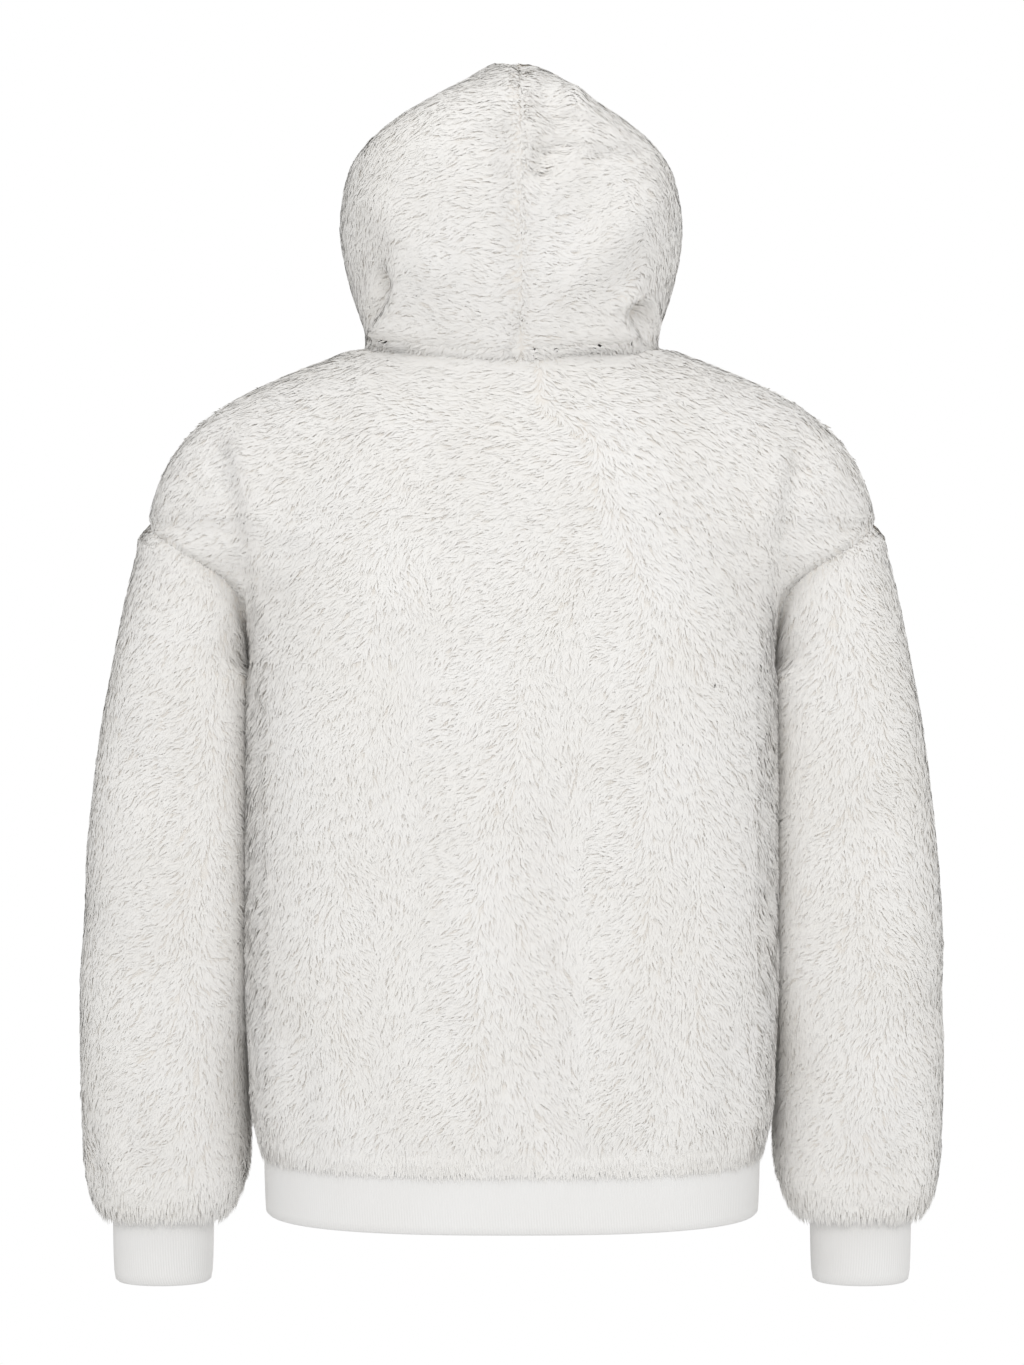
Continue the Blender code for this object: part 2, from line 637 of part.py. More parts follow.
def sleeve_piece(name, side):
    """A sleeve; side is 1 for the wearer's left and -1 for the right."""
    grid = sleeve_rows()
    lift = sleeve_fold_lift(grid, side)
    if side < 0:
        grid = mirrored(grid)
    piece = Piece(name, grid, True, (0, 1, 0))
    from_body_side = np.abs(np.arange(grid.shape[1]) / grid.shape[1] - 0.5)
    against_body = np.clip(SLEEVE_BODY_SIDE - from_body_side * SLEEVE_BODY_EASE, 0, 1)
    fade = edge_fade(len(grid), True, True)[:, None] * (1 - against_body)[None, :]
    piece.lift(lift * fade)
    piece.level_edge(-1, (0, 0, -1))
    return piece


def hood_piece(name, side):
    """Half of the hood, from the middle seam to the face edge."""
    half = hood_half_rows()
    whole = np.concatenate((mirrored(half[:, :0:-1]), half), axis=1)
    normals = grid_normals(whole, False, (0, 1, 0))
    columns = half.shape[1]
    towards_back = np.clip((whole[..., 1] - HOOD_FOLD_START_Y) / HOOD_FOLD_EASE, 0, 1)
    fade = edge_fade(len(whole), True, False)[:, None]
    whole = whole + normals * (fold_lift(whole, "back") * towards_back * fade)[..., None]
    rise = np.clip(whole[..., 2] / HOOD_TOP_Z, 0, 1)
    whole[..., 0] += HOOD_TOP_LEAN * rise ** 2
    normals = grid_normals(whole, False, (0, 1, 0))
    crown_x = whole[-1, :, 0] * CROWN_SPREAD
    over_face = np.column_stack((crown_x, np.zeros(len(crown_x)), np.ones(len(crown_x))))
    normals[-1] = unit(over_face)
    normals[-2] = unit(normals[-2] + normals[-1])
    chosen = slice(columns - 1, None) if side > 0 else slice(None, columns)
    piece = Piece(name, whole[:, chosen], False, (0, 1, 0))
    piece.normals = normals[:, chosen].copy()
    return piece


def band_piece(name, rows):
    """A rib tube from rows of x, y, z rings."""
    piece = Piece(name, np.array(rows), True, (0, 1, 0))
    piece.level_edge(0)
    piece.level_edge(-1)
    return piece


def hem_band_piece():
    """The rib band under the back and front."""
    angle = np.arange(HEM_BAND_COLUMNS) * 2 * math.pi / HEM_BAND_COLUMNS
    hem = {name: values[0] for name, values in TORSO.items()}
    rows = []
    for z, spare in HEM_RINGS:
        grow = spare - BAND_INSET
        x, back = superellipse(angle, hem["half_width"] + grow, hem["back"] + grow, hem["squareness"])
        _, front = superellipse(angle, hem["half_width"] + grow, hem["front"] + grow, hem["squareness"])
        rows.append(np.column_stack((x, np.where(back > 0, back, front), np.full(len(angle), z))))
    return band_piece("hem_band", rows)


def cuff_piece(name, side):
    """A rib cuff, its top tucked inside the sleeve's end."""
    angle = np.arange(2 * ARMHOLE_STEPS) * math.pi / ARMHOLE_STEPS
    rows = []
    for z, spare in CUFF_RINGS:
        x, y = cuff_plan(angle, spare)
        rows.append(np.column_stack((x * side, y, np.full(len(angle), z))))
    return band_piece(name, rows)


def join_pieces(back, front, sleeves, hoods):
    """Meet every seam: sides, armholes, shoulders, neck and the hood's middle."""
    body_rows = len(BODY_ROW_Z) - 1
    tip_row = body_rows + ARMHOLE_STEPS
    top_row = tip_row + YOKE_ROWS
    holds = []
    for side in (1, -1):
        back_column = 2 * BACK_HALF_COLUMNS if side > 0 else 0
        front_column = 2 * FRONT_HALF_COLUMNS if side > 0 else 0
        for first_row, last_row in ((0, body_rows), (tip_row, top_row)):
            side_rows = range(first_row, last_row + 1)
            back_side = [(row, back_column) for row in side_rows]
            front_side = [(row, front_column) for row in side_rows]
            joined = seam(back, back_side, front, front_side)
            holds.append((back, joined[0], joined[2]))
            holds.append((front, joined[1], joined[2]))
        sleeve = sleeves[side]
        ring = 2 * ARMHOLE_STEPS
        for panel, column, steps in ((back, back_column, 1), (front, front_column, -1)):
            panel_cells = [(tip_row - step, column) for step in range(ARMHOLE_STEPS + 1)]
            sleeve_cells = [(0, (step * steps) % ring) for step in range(ARMHOLE_STEPS + 1)]
            share = np.linspace(0, 1, ARMHOLE_STEPS + 1)[:, None]
            lean = ARMPIT_LEAN * np.clip((share - ARMPIT_LEAN_START) / (1 - ARMPIT_LEAN_START), 0, 1)
            joined = seam(panel, panel_cells, sleeve, sleeve_cells, lean)
            holds.append((panel, joined[0], joined[2]))
            holds.append((sleeve, joined[1], joined[2]))
        hood = hoods[side]
        back_cells = [(top_row, BACK_HALF_COLUMNS + side * step) for step in range(BACK_HALF_COLUMNS + 1)]
        outside_in = range(FRONT_HALF_COLUMNS, -1, -1)
        front_cells = [(top_row, FRONT_HALF_COLUMNS + side * step) for step in outside_in]
        hood_columns = range(hood.grid.shape[1]) if side > 0 else range(hood.grid.shape[1] - 1, -1, -1)
        hood_cells = [(0, column) for column in hood_columns]
        for panel, cells, wanted in (
            (back, back_cells, hood_cells[:BACK_HALF_COLUMNS + 1]),
            (front, front_cells, hood_cells[BACK_HALF_COLUMNS:]),
        ):
            joined = seam(panel, cells, hood, wanted)
            holds.append((panel, joined[0], joined[2]))
            holds.append((hood, joined[1], joined[2]))
    middle_left = [(row, 0) for row in range(HOOD_ROWS + 1)]
    middle_right = [(row, hoods[-1].grid.shape[1] - 1) for row in range(HOOD_ROWS + 1)]
    joined = seam(hoods[1], middle_left, hoods[-1], middle_right)
    holds.append((hoods[1], joined[0], joined[2]))
    holds.append((hoods[-1], joined[1], joined[2]))
    return holds


def settle_corners(back, front, sleeves, hoods):
    """One normal wherever three or four pieces meet."""
    body_rows = len(BODY_ROW_Z) - 1
    tip_row = body_rows + ARMHOLE_STEPS
    top_row = tip_row + YOKE_ROWS
    for side in (1, -1):
        back_column = 2 * BACK_HALF_COLUMNS if side > 0 else 0
        front_column = 2 * FRONT_HALF_COLUMNS if side > 0 else 0
        hood = hoods[side]
        last = hood.grid.shape[1] - 1
        shoulder = BACK_HALF_COLUMNS if side > 0 else last - BACK_HALF_COLUMNS
        share_normal((back, tip_row, back_column), (front, tip_row, front_column), (sleeves[side], 0, 0))
        down = (sleeves[side], 0, ARMHOLE_STEPS)
        share_normal((back, body_rows, back_column), (front, body_rows, front_column), down)
        share_normal((back, top_row, back_column), (front, top_row, front_column), (hood, 0, shoulder))
    ends = [(hoods[1], 0, 0), (hoods[-1], 0, hoods[-1].grid.shape[1] - 1)]
    share_normal((back, top_row, BACK_HALF_COLUMNS), *ends)
    ends = [(hoods[1], 0, hoods[1].grid.shape[1] - 1), (hoods[-1], 0, 0)]
    share_normal((front, top_row, FRONT_HALF_COLUMNS), *ends)


def main():
    for thing in list(bpy.data.objects):
        bpy.data.objects.remove(thing)
    back = body_piece("back", BACK_HALF_COLUMNS, True)
    front = body_piece("front", FRONT_HALF_COLUMNS, False)
    sleeves = {1: sleeve_piece("sleeve_left", 1), -1: sleeve_piece("sleeve_right", -1)}
    hoods = {1: hood_piece("hood_left", 1), -1: hood_piece("hood_right", -1)}
    holds = join_pieces(back, front, sleeves, hoods)
    settle_corners(back, front, sleeves, hoods)
    for piece, cells, across in holds:
        rows, columns = cells
        inner_rows = np.clip(rows, 1, len(piece.grid) - 2)
        inner_columns = columns if piece.ring else np.clip(columns, 1, piece.grid.shape[1] - 2)
        towards = piece.grid[inner_rows, inner_columns] - piece.grid[rows, columns]
        sign = np.sign(np.sum(np.sum(towards * across, axis=1)))
        hold_back(piece, cells, across, sign)
    for piece in (back, front, *sleeves.values(), *hoods.values()):
        wall_object(piece, FLEECE_WALL, fabric(piece.name + "_fleece", FLEECE_COLOUR, 0.95))
    for piece in (hem_band_piece(), cuff_piece("cuff_left", 1), cuff_piece("cuff_right", -1)):
        wall_object(piece, RIB_WALL, fabric(piece.name + "_rib", RIB_COLOUR, 0.85))


main()
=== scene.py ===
"""Looks of the hooded sweatshirt: knitted backing, combed long pile, rib bands, studio and camera."""

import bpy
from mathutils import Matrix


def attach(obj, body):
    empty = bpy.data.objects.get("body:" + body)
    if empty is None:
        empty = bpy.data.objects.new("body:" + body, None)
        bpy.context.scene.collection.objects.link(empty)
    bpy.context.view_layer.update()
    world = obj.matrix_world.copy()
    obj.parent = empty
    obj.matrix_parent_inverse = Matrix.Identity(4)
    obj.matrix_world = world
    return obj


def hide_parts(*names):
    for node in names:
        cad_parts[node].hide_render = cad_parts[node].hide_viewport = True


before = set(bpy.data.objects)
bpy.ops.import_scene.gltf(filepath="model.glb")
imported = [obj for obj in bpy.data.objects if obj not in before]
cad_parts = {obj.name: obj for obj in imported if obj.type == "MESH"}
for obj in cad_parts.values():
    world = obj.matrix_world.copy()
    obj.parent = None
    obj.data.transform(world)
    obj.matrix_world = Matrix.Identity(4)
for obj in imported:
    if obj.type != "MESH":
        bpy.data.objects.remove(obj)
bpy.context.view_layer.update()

import math

import bpy
import numpy as np

# Sizes of the cloth, in metres
PILE = 0.0016
BACKING = 0.0030
RIB_WALL = 0.0026
NECK_HALF_WIDTH = 0.120
NECK_BACK = 0.102
NECK_FRONT = 0.117
NECK_SQUARENESS = 2.2
SHOULDER_TIP_Z = -0.136
ARMPIT_Z = -0.252
SLEEVE_LEVEL_Z = -0.300
HEM_SEAM_Z = -0.630
HEM_BOTTOM_Z = -0.685
CUFF_TOP_Z = -0.686
CUFF_BOTTOM_Z = -0.750
BAND_INSET = 0.0045
DOWN = np.array((0.0, 0.0, -1.0))

# Locks of pile: length and width, parts along each and the width's share at each part's start
LOCK_SIZE = (0.0135, 0.0021)
FRONT_LOCK_SIZE = (0.0150, 0.0027)
TRIM_WIDTH = 0.0019
LOCK_STEPS = 2
WIDTH_ALONG = (0.85, 1.0)
SIZE_SPREAD = (0.75, 1.25)
PIECE_LOCKS = 60000
# How a lock lies: stray, curl, its turns, pile over it, the tip's rise, roll, and drift from place to place
STRAY = 0.16
CURL = 0.42
CURL_TURNS = 1.1
COVER = 0.0006
RISE = 0.0008
ROLL = 0.08
WANDER = 0.22
# Share of a seam's sink that the backing and the roots take
ROOT_SINK = 0.95
# Share of a lock's own facing in its shading, and how far its two sides round off
FACING = 0.03
ROUNDING = 0.05
# Where the body turns toward the sleeves, locks stand off and soften the crease
FLANK_X = 0.216
FLANK_LIFT = 0.0022
# Hanging locks have their normals levelled
LEVELLED = np.array((1.0, 1.0, 0.3))
# Cells that a lock may reach past an open edge
EDGE_SPARE = 1.2

# Density of the grids
FINE = 3
BACK_HALF_COLUMNS = 16 * FINE
FRONT_HALF_COLUMNS = 10 * FINE
ARMHOLE_STEPS = 10 * FINE
YOKE_ROWS = 7 * FINE
HOOD_ROWS = 60
BODY_ROWS = 36
DENSE = 241


def table(columns, *rows):
    """A short table as one array for each named column."""
    return dict(zip(columns.split(), np.array(rows, dtype=float).T))


TORSO = table(
    "z half_width back front squareness",
    (-0.630, 0.2010, 0.140, 0.136, 2.6),
    (-0.612, 0.2055, 0.144, 0.140, 2.6),
    (-0.560, 0.2080, 0.147, 0.142, 2.7),
    (-0.420, 0.2085, 0.149, 0.142, 2.8),
    (-0.252, 0.2075, 0.148, 0.138, 2.8),
    (-0.136, 0.2030, 0.138, 0.127, 2.6),
)
CHEST_SECTIONS = table(
    "z torso_stop fold_x fold_y arm_start rounding",
    (-0.315, 0, 0.0000, 0.000, 0, 0.004),
    (-0.252, 0, 0.0000, 0.000, 0, 0.004),
    (-0.222, 18, 0.2085, 0.042, 0, 0.006),
    (-0.192, 32, 0.2095, 0.060, 0, 0.010),
    (-0.164, 40, 0.2130, 0.073, 95, 0.013),
    (-0.136, 44, 0.2160, 0.083, 82, 0.016),
)
ARM = table(
    "z middle_x middle_y half_width half_depth",
    (-0.136, 0.2500, -0.004, 0.0420, 0.060),
    (-0.150, 0.2525, -0.004, 0.0465, 0.061),
    (-0.168, 0.2545, -0.004, 0.0485, 0.062),
    (-0.200, 0.2590, -0.004, 0.0515, 0.063),
    (-0.252, 0.2647, -0.004, 0.0557, 0.064),
    (-0.300, 0.2700, -0.006, 0.0593, 0.064),
    (-0.360, 0.2740, -0.009, 0.0633, 0.064),
    (-0.440, 0.2782, -0.014, 0.0671, 0.063),
    (-0.520, 0.2797, -0.019, 0.0686, 0.062),
    (-0.600, 0.2797, -0.025, 0.0686, 0.060),
    (-0.650, 0.2797, -0.029, 0.0674, 0.057),
)
ARM_OUTER_SQUARENESS = 2.05
ARM_INNER_SQUARENESS = 2.7
SLEEVE_TURN = table(
    "z fullness",
    (-0.650, 1.00),
    (-0.668, 0.91),
    (-0.682, 0.72),
    (-0.690, 0.48),
    (-0.6945, 0.22),
    (-0.6955, 0.00),
)
TURN_STRETCH = 20
CUFF = {"middle_x": 0.2822, "middle_y": -0.031, "half_width": 0.0408, "half_depth": 0.031}
ARMHOLE = table(
    "angle x y z",
    (0, 0.2920, -0.004, -0.136),
    (41, 0.2840, 0.034, -0.146),
    (79, 0.2620, 0.056, -0.162),
    (111, 0.2370, 0.058, -0.178),
    (136, 0.2170, 0.046, -0.198),
    (158, 0.2095, 0.024, -0.231),
    (180, 0.2084, -0.002, -0.252),
    (202, 0.2095, -0.029, -0.233),
    (224, 0.2170, -0.052, -0.200),
    (249, 0.2370, -0.064, -0.179),
    (281, 0.2620, -0.062, -0.163),
    (319, 0.2840, -0.040, -0.146),
    (360, 0.2920, -0.004, -0.136),
)
NECK_HEIGHT = table(
    "angle z",
    (0, -0.018),
    (45, -0.009),
    (90, 0.000),
    (135, -0.036),
    (180, -0.085),
)
# Ways in which the yoke's lines leave the chest and arrive at the neck, at the sides and the middle
YOKE_SIDE = np.array(((-0.040, 0.0, 0.235), (-0.310, 0.0, 0.090)))
YOKE_BACK = np.array(((0.0, -0.012, 0.115), (0.0, -0.045, 0.115)))
YOKE_FRONT = np.array(((0.0, 0.004, 0.050), (0.0, 0.014, 0.050)))
YOKE_SPREAD = 1.5
HOOD = table(
    "back_y back_z half_width wide_y wide_z edge_x edge_y edge_z",
    (0.109, 0.000, 0.1185, 0.002, 0.014, 0.022, -0.115, -0.068),
    (0.118, 0.028, 0.1240, 0.004, 0.029, 0.047, -0.112, -0.042),
    (0.127, 0.062, 0.1320, 0.006, 0.055, 0.072, -0.108, -0.002),
    (0.131, 0.100, 0.1375, 0.010, 0.088, 0.087, -0.105, 0.050),
    (0.130, 0.135, 0.1350, 0.014, 0.118, 0.091, -0.104, 0.098),
    (0.123, 0.163, 0.1260, 0.018, 0.145, 0.086, -0.104, 0.134),
    (0.109, 0.187, 0.1050, 0.021, 0.167, 0.073, -0.105, 0.160),
    (0.085, 0.206, 0.0765, 0.020, 0.184, 0.056, -0.106, 0.180),
    (0.051, 0.220, 0.0515, 0.010, 0.199, 0.040, -0.107, 0.194),
    (0.008, 0.229, 0.0335, -0.015, 0.213, 0.026, -0.107, 0.204),
    (-0.045, 0.227, 0.0230, -0.055, 0.218, 0.015, -0.107, 0.210),
    (-0.092, 0.217, 0.0140, -0.095, 0.214, 0.009, -0.107, 0.213),
)
HOOD_SQUARENESS = 2.25
HOOD_TOP_LEAN = 0.004
SEAM_BOW = table(
    "z shift",
    (-0.018, 0.0000),
    (0.010, -0.0070),
    (0.100, -0.0085),
    (0.190, -0.0105),
    (0.215, -0.0090),
    (0.229, -0.0010),
)
SEAM_BOW_REACH = 0.045
HOOD_SPARE = -0.0012

# Soft troughs (minus) and rolls (plus), in millimetres: width, height at start and end, and a path of x, z
FOLDS = {
    "back": (
        (10, -4, -6, ((214, -225), (214, -180), (219, -125), (234, -78))),
        (12, 3, 3, ((196, -235), (198, -180), (203, -125), (215, -88))),
        (10, -4, -6, ((-214, -225), (-213, -185), (-217, -130), (-228, -85))),
        (12, 3, 3, ((-196, -235), (-197, -185), (-201, -130), (-209, -95))),
        (24, -5, -3, ((60, -100), (66, -175))),
        (30, -4, -3, ((96, -250), (118, -285))),
        (22, 4, 4, ((40, -360), (36, -500))),
        (18, -4, -8, ((-18, -385), (-24, -500), (-26, -625))),
        (20, 4, 3, ((-60, -500), (-64, -590))),
        (13, -2, -6, ((30, -560), (24, -625))),
        (14, -2, -6, ((-106, -545), (-114, -625))),
        (14, -1, -5, ((98, -560), (104, -625))),
        (14, -2, -5, ((165, -540), (160, -625))),
        (14, -2, -5, ((-170, -550), (-166, -625))),
    ),
    "front": (
        (24, -10, -2, ((200, -235), (190, -165), (172, -100))),
        (24, -10, -2, ((-200, -235), (-192, -170), (-178, -105))),
        (26, -3, -7, ((50, -430), (62, -625))),
        (26, -3, -7, ((-78, -470), (-70, -625))),
        (24, -2, -6, ((140, -520), (136, -625))),
        (24, -2, -6, ((-150, -500), (-144, -625))),
        (26, -2, -5, ((-6, -520), (-2, -625))),
    ),
    "hood": (
        (7, -16, -8, ((104.5, 40), (107, 30), (114, 18))),
        (9, 4, 3, ((91, 54), (93, 34), (100, 14))),
        (18, -5, -2, ((112, 52), (108, 78))),
        (7, -16, -12, ((-101, 20), (-107, 6))),
        (7, 7, 6, ((-88, 26), (-99, 33), (-110, 27), (-116, 10))),
        (10, 6, 4, ((110, 10), (80, 2))),
        (11, 4, 6, ((-62, 0), (-112, 4))),
        (16, 5, 3, ((100, 94), (66, 48))),
        (16, 6, 4, ((-108, 106), (-75, 66), (-38, 38))),
        (20, -4, -3, ((-30, 70), (-60, 110))),
        (8, -13, -4, ((-15, 124), (-19, 141))),
        (6, -8, -5, ((-18, 141), (-46, 146))),
        (6, -7, -4, ((-36, 170), (-70, 160))),
        (6, -6, -4, ((-66, 136), (-100, 142))),
        (14, -10, -5, ((-24, 180), (-34, 140))),
        (10, 5, 3, ((-48, 188), (-62, 152))),
        (10, 6, 4, ((3, 155), (2, 15))),
        (13, -8, -3, ((28, 150), (24, 60))),
        (12, 4, 4, ((6, 205), (3, 160))),
    ),
}
# Way the pile lies: degrees from straight down toward the wearer's left at start and end,
# and a path of x, z in millimetres
CURRENTS = {
    "body": (
        (60, 50, ((170, -85), (160, -160), (165, -270))),
        (52, 48, ((110, -100), (128, -240))),
        (15, 45, ((180, -350), (178, -430), (178, -600))),
        (8, 5, ((145, -350), (145, -560))),
        (-25, -45, ((118, -390), (118, -540))),
        (0, 5, ((90, -190), (88, -550))),
        (-30, -30, ((64, -185), (62, -215))),
        (45, 55, ((55, -130), (48, -300), (46, -600))),
        (72, 38, ((8, -100), (12, -330))),
        (-5, -10, ((8, -410), (6, -600))),
        (70, 45, ((-30, -100), (-26, -200))),
        (-8, -45, ((-21, -270), (-24, -400), (-26, -600))),
        (20, 5, ((-48, -200), (-48, -360))),
        (55, 50, ((-72, -180), (-78, -400), (-82, -600))),
        (-5, -5, ((-127, -240), (-127, -600))),
        (-42, -40, ((-98, -90), (-112, -170))),
        (-50, -42, ((-160, -90), (-156, -250), (-160, -600))),
        (78, 82, ((150, -45), (20, -40))),
        (-80, -72, ((-60, -40), (-150, -50))),
    ),
    "hood": (
        (76, 84, ((12, 190), (10, 0))),
        (70, 76, ((60, 150), (60, 15))),
        (45, 38, ((115, 130), (110, 60))),
        (60, 60, ((45, 200), (80, 170))),
        (-86, -88, ((-25, 190), (-25, 0))),
        (-104, -112, ((-60, 110), (-85, 60))),
        (-78, -76, ((-60, 170), (-100, 150))),
        (-60, -30, ((-120, 120), (-114, 30))),
    ),
}
SLEEVE_LEAN = table(
    "angle left right",
    (0, 0, 4),
    (40, 12, 30),
    (62, 42, 38),
    (82, 50, 12),
    (100, 44, -20),
    (115, 10, -42),
    (130, -30, -38),
    (150, -16, -28),
    (180, 0, 0),
)
# Distance over which a current gives way to the next
CURRENT_REACH = 0.007
# Depth of the armhole seam against steps up from the armpit, and each groove's depth, width and pile left
SEAM_DEPTH = ((0, 5, 12, ARMHOLE_STEPS, ARMHOLE_STEPS + 3), (0.0008, 0.0052, 0.0050, 0.0034, 0.0012))
SEAM_WIDTH = 0.007
NECK_GROOVE = (0.0030, 0.006, 1.0)
HOOD_GROOVE = (0.0026, 0.005, 0.8)
# Where body and sleeve press on each other: the sleeve's way inward, the body's share of it outward,
# the lift of the sleeve's two corners, and the heights over which the press starts and stops
TOUCH = 0.0034
BODY_TOUCH = 0.7
CORNER_LIFT = 0.0085
TOUCH_START = 0.007
TOUCH_END_Z = -0.570
TOUCH_FADE = 0.080
# Radius of an arm of middling size, for the sleeves' folds
ARM_RADIUS = 0.063
# Width, height at start and end in metres, and a path of degrees round the sleeve and z
SLEEVE_FOLDS = {
    1: (
        (0.022, -0.004, -0.003, ((60, -0.330), (95, -0.350))),
        (0.026, -0.005, -0.002, ((20, -0.450), (80, -0.490))),
        (0.016, -0.003, -0.006, ((70, -0.610), (78, -0.660))),
        (0.016, -0.002, -0.005, ((30, -0.620), (34, -0.660))),
        (0.022, -0.006, -0.004, ((300, -0.400), (255, -0.430))),
    ),
    -1: (
        (0.024, -0.005, -0.003, ((75, -0.370), (110, -0.400))),
        (0.024, -0.004, -0.003, ((25, -0.520), (80, -0.550))),
        (0.016, -0.003, -0.006, ((60, -0.615), (64, -0.660))),
        (0.016, -0.002, -0.005, ((95, -0.620), (92, -0.660))),
        (0.022, -0.006, -0.004, ((310, -0.420), (260, -0.440))),
    ),
}
# Rings of the rib bands: height, and how far each stands out
HEM_RINGS = (
    (HEM_SEAM_Z + 0.004, 0.0), (-0.637, 0.0002), (-0.645, 0.0006), (-0.656, 0.0004),
    (-0.668, 0.0), (-0.678, -0.0004), (-0.6835, -0.0008), (HEM_BOTTOM_Z, -0.0022),
)
CUFF_RINGS = (
    (CUFF_TOP_Z, 0.0), (-0.696, 0.0), (-0.706, 0.0), (-0.718, -0.0002),
    (-0.730, -0.0005), (-0.741, -0.0010), (-0.748, -0.0022), (CUFF_BOTTOM_Z, -0.0046),
)
# Extra locks along edges: edge, count, cells in from it, length, share of straight down, and stray
HEM_TRIM = ("first row", 4000, (0.0, 1.1), 0.014, 0.75, STRAY)
BODY_NECK_TRIM = ("last row", 800, (-0.3, 1.2), 0.008, 0.0, 0.6)
SIDE_TRIM = (900, (-0.5, 1.0), 0.008, 0.0, 0.6)
WRIST_TRIM = ("last row", 2600, (4.0, 12.5), 0.012, 0.75, STRAY)
ARMHOLE_TRIM = ("first row", 1400, (-0.6, 1.4), 0.008, 0.0, 0.7)
HOOD_NECK_TRIMS = (
    ("first row", 1500, (0.3, 2.4), 0.008, 0.45, 0.35),
    ("first row", 500, (-0.3, 1.0), 0.007, 0.0, 0.6),
)
HOOD_SEAM_TRIM = (1000, (-0.8, 1.0), 0.007, 0.0, 0.8)
# Lamps: place, turn in degrees, power and width
LAMPS = (
    ("key", (-0.1, 4.2, 0.8), (76, 0, 181), 68.0, 2.4),
    ("left", (3.4, 0.1, -0.25), (90, 0, 92), 8.0, 2.4),
    ("right", (-3.4, 0.1, -0.25), (90, 0, -92), 8.0, 2.4),
    ("top", (0.0, 0.9, 2.3), (20, 0, 180), 13.0, 2.0),
    ("fill", (-1.5, -3.0, 0.5), (78, 0, -27), 50.0, 2.6),
)
WHITE = (1.0, 1.0, 1.0)


def smooth(keys, values, wanted):
    """A smooth curve through a table's values, read at the wanted keys."""
    wanted = np.clip(wanted, keys.min(), keys.max())
    order = np.argsort(keys)
    keys = keys[order]
    values = values[order]
    steps = np.diff(keys)
    chords = np.diff(values) / steps
    slopes = np.empty_like(values)
    slopes[0] = chords[0]
    slopes[-1] = chords[-1]
    slopes[1:-1] = (chords[:-1] * steps[1:] + chords[1:] * steps[:-1]) / (steps[1:] + steps[:-1])
    place = np.clip(np.searchsorted(keys, wanted, side="right") - 1, 0, len(keys) - 2)
    step = steps[place]
    t = (wanted - keys[place]) / step
    first = values[place] * (1 + 2 * t) * (1 - t) ** 2 + slopes[place] * step * t * (1 - t) ** 2
    second = values[place + 1] * t ** 2 * (3 - 2 * t) - slopes[place + 1] * step * t ** 2 * (1 - t)
    return first + second


def read(source, wanted):
    """Every other column of a table, smoothly, at the wanted value of its first column."""
    key, *names = source
    return {name: smooth(source[key], source[name], wanted) for name in names}


def unit(vectors):
    """Vectors scaled to length one."""
    return vectors / np.maximum(np.linalg.norm(vectors, axis=-1, keepdims=True), 1e-12)


def dot(first, second):
    """Dot products along the last axis, kept as a column."""
    return np.sum(first * second, axis=-1, keepdims=True)


def resample(points, fractions):
    """Points at the given fractions of a polyline's length."""
    lengths = np.linalg.norm(np.diff(points, axis=0), axis=1)
    along = np.concatenate(([0.0], np.cumsum(lengths)))
    wanted = np.asarray(fractions) * along[-1]
    return np.stack([np.interp(wanted, along, column) for column in points.T], axis=1)


def superellipse(angle, half_width, half_depth, squareness):
    """Plan of a rounded tube; the angle is in radians, from +X toward +Y."""
    power = 2.0 / squareness
    cosine = np.cos(angle)
    sine = np.sin(angle)
    x = half_width * np.sign(cosine) * np.abs(cosine) ** power
    y = half_depth * np.sign(sine) * np.abs(sine) ** power
    return x, y


def arm_plan(angle, z):
    """Plan of a filled left sleeve at a height, flatter on the side against the body."""
    size = read(ARM, z)
    squareness = np.where(np.cos(angle) > 0, ARM_OUTER_SQUARENESS, ARM_INNER_SQUARENESS)
    x, y = superellipse(angle, size["half_width"], size["half_depth"], squareness)
    return size["middle_x"] + x, size["middle_y"] + y


def cuff_plan(angle, spare):
    """Plan of the left cuff's outer face, grown by the spare."""
    x, y = superellipse(angle, CUFF["half_width"] + spare, CUFF["half_depth"] + spare, 2.0)
    return CUFF["middle_x"] + x, CUFF["middle_y"] + y


def armhole_points(degrees):
    """The armhole seam at the given angles."""
    return np.stack(list(read(ARMHOLE, np.asarray(degrees, dtype=float)).values()), axis=-1)


def neck_points(fractions, back):
    """The neck seam's left half from the middle (0) to the shoulder seam (1), by length."""
    degrees = np.linspace(0, 90, DENSE) if back else np.linspace(180, 90, DENSE)
    depth = NECK_BACK if back else NECK_FRONT
    x, y = superellipse(np.radians(90 - degrees), NECK_HALF_WIDTH, depth, NECK_SQUARENESS)
    z = read(NECK_HEIGHT, degrees)["z"]
    return resample(np.stack((x, y, z), axis=1), fractions)


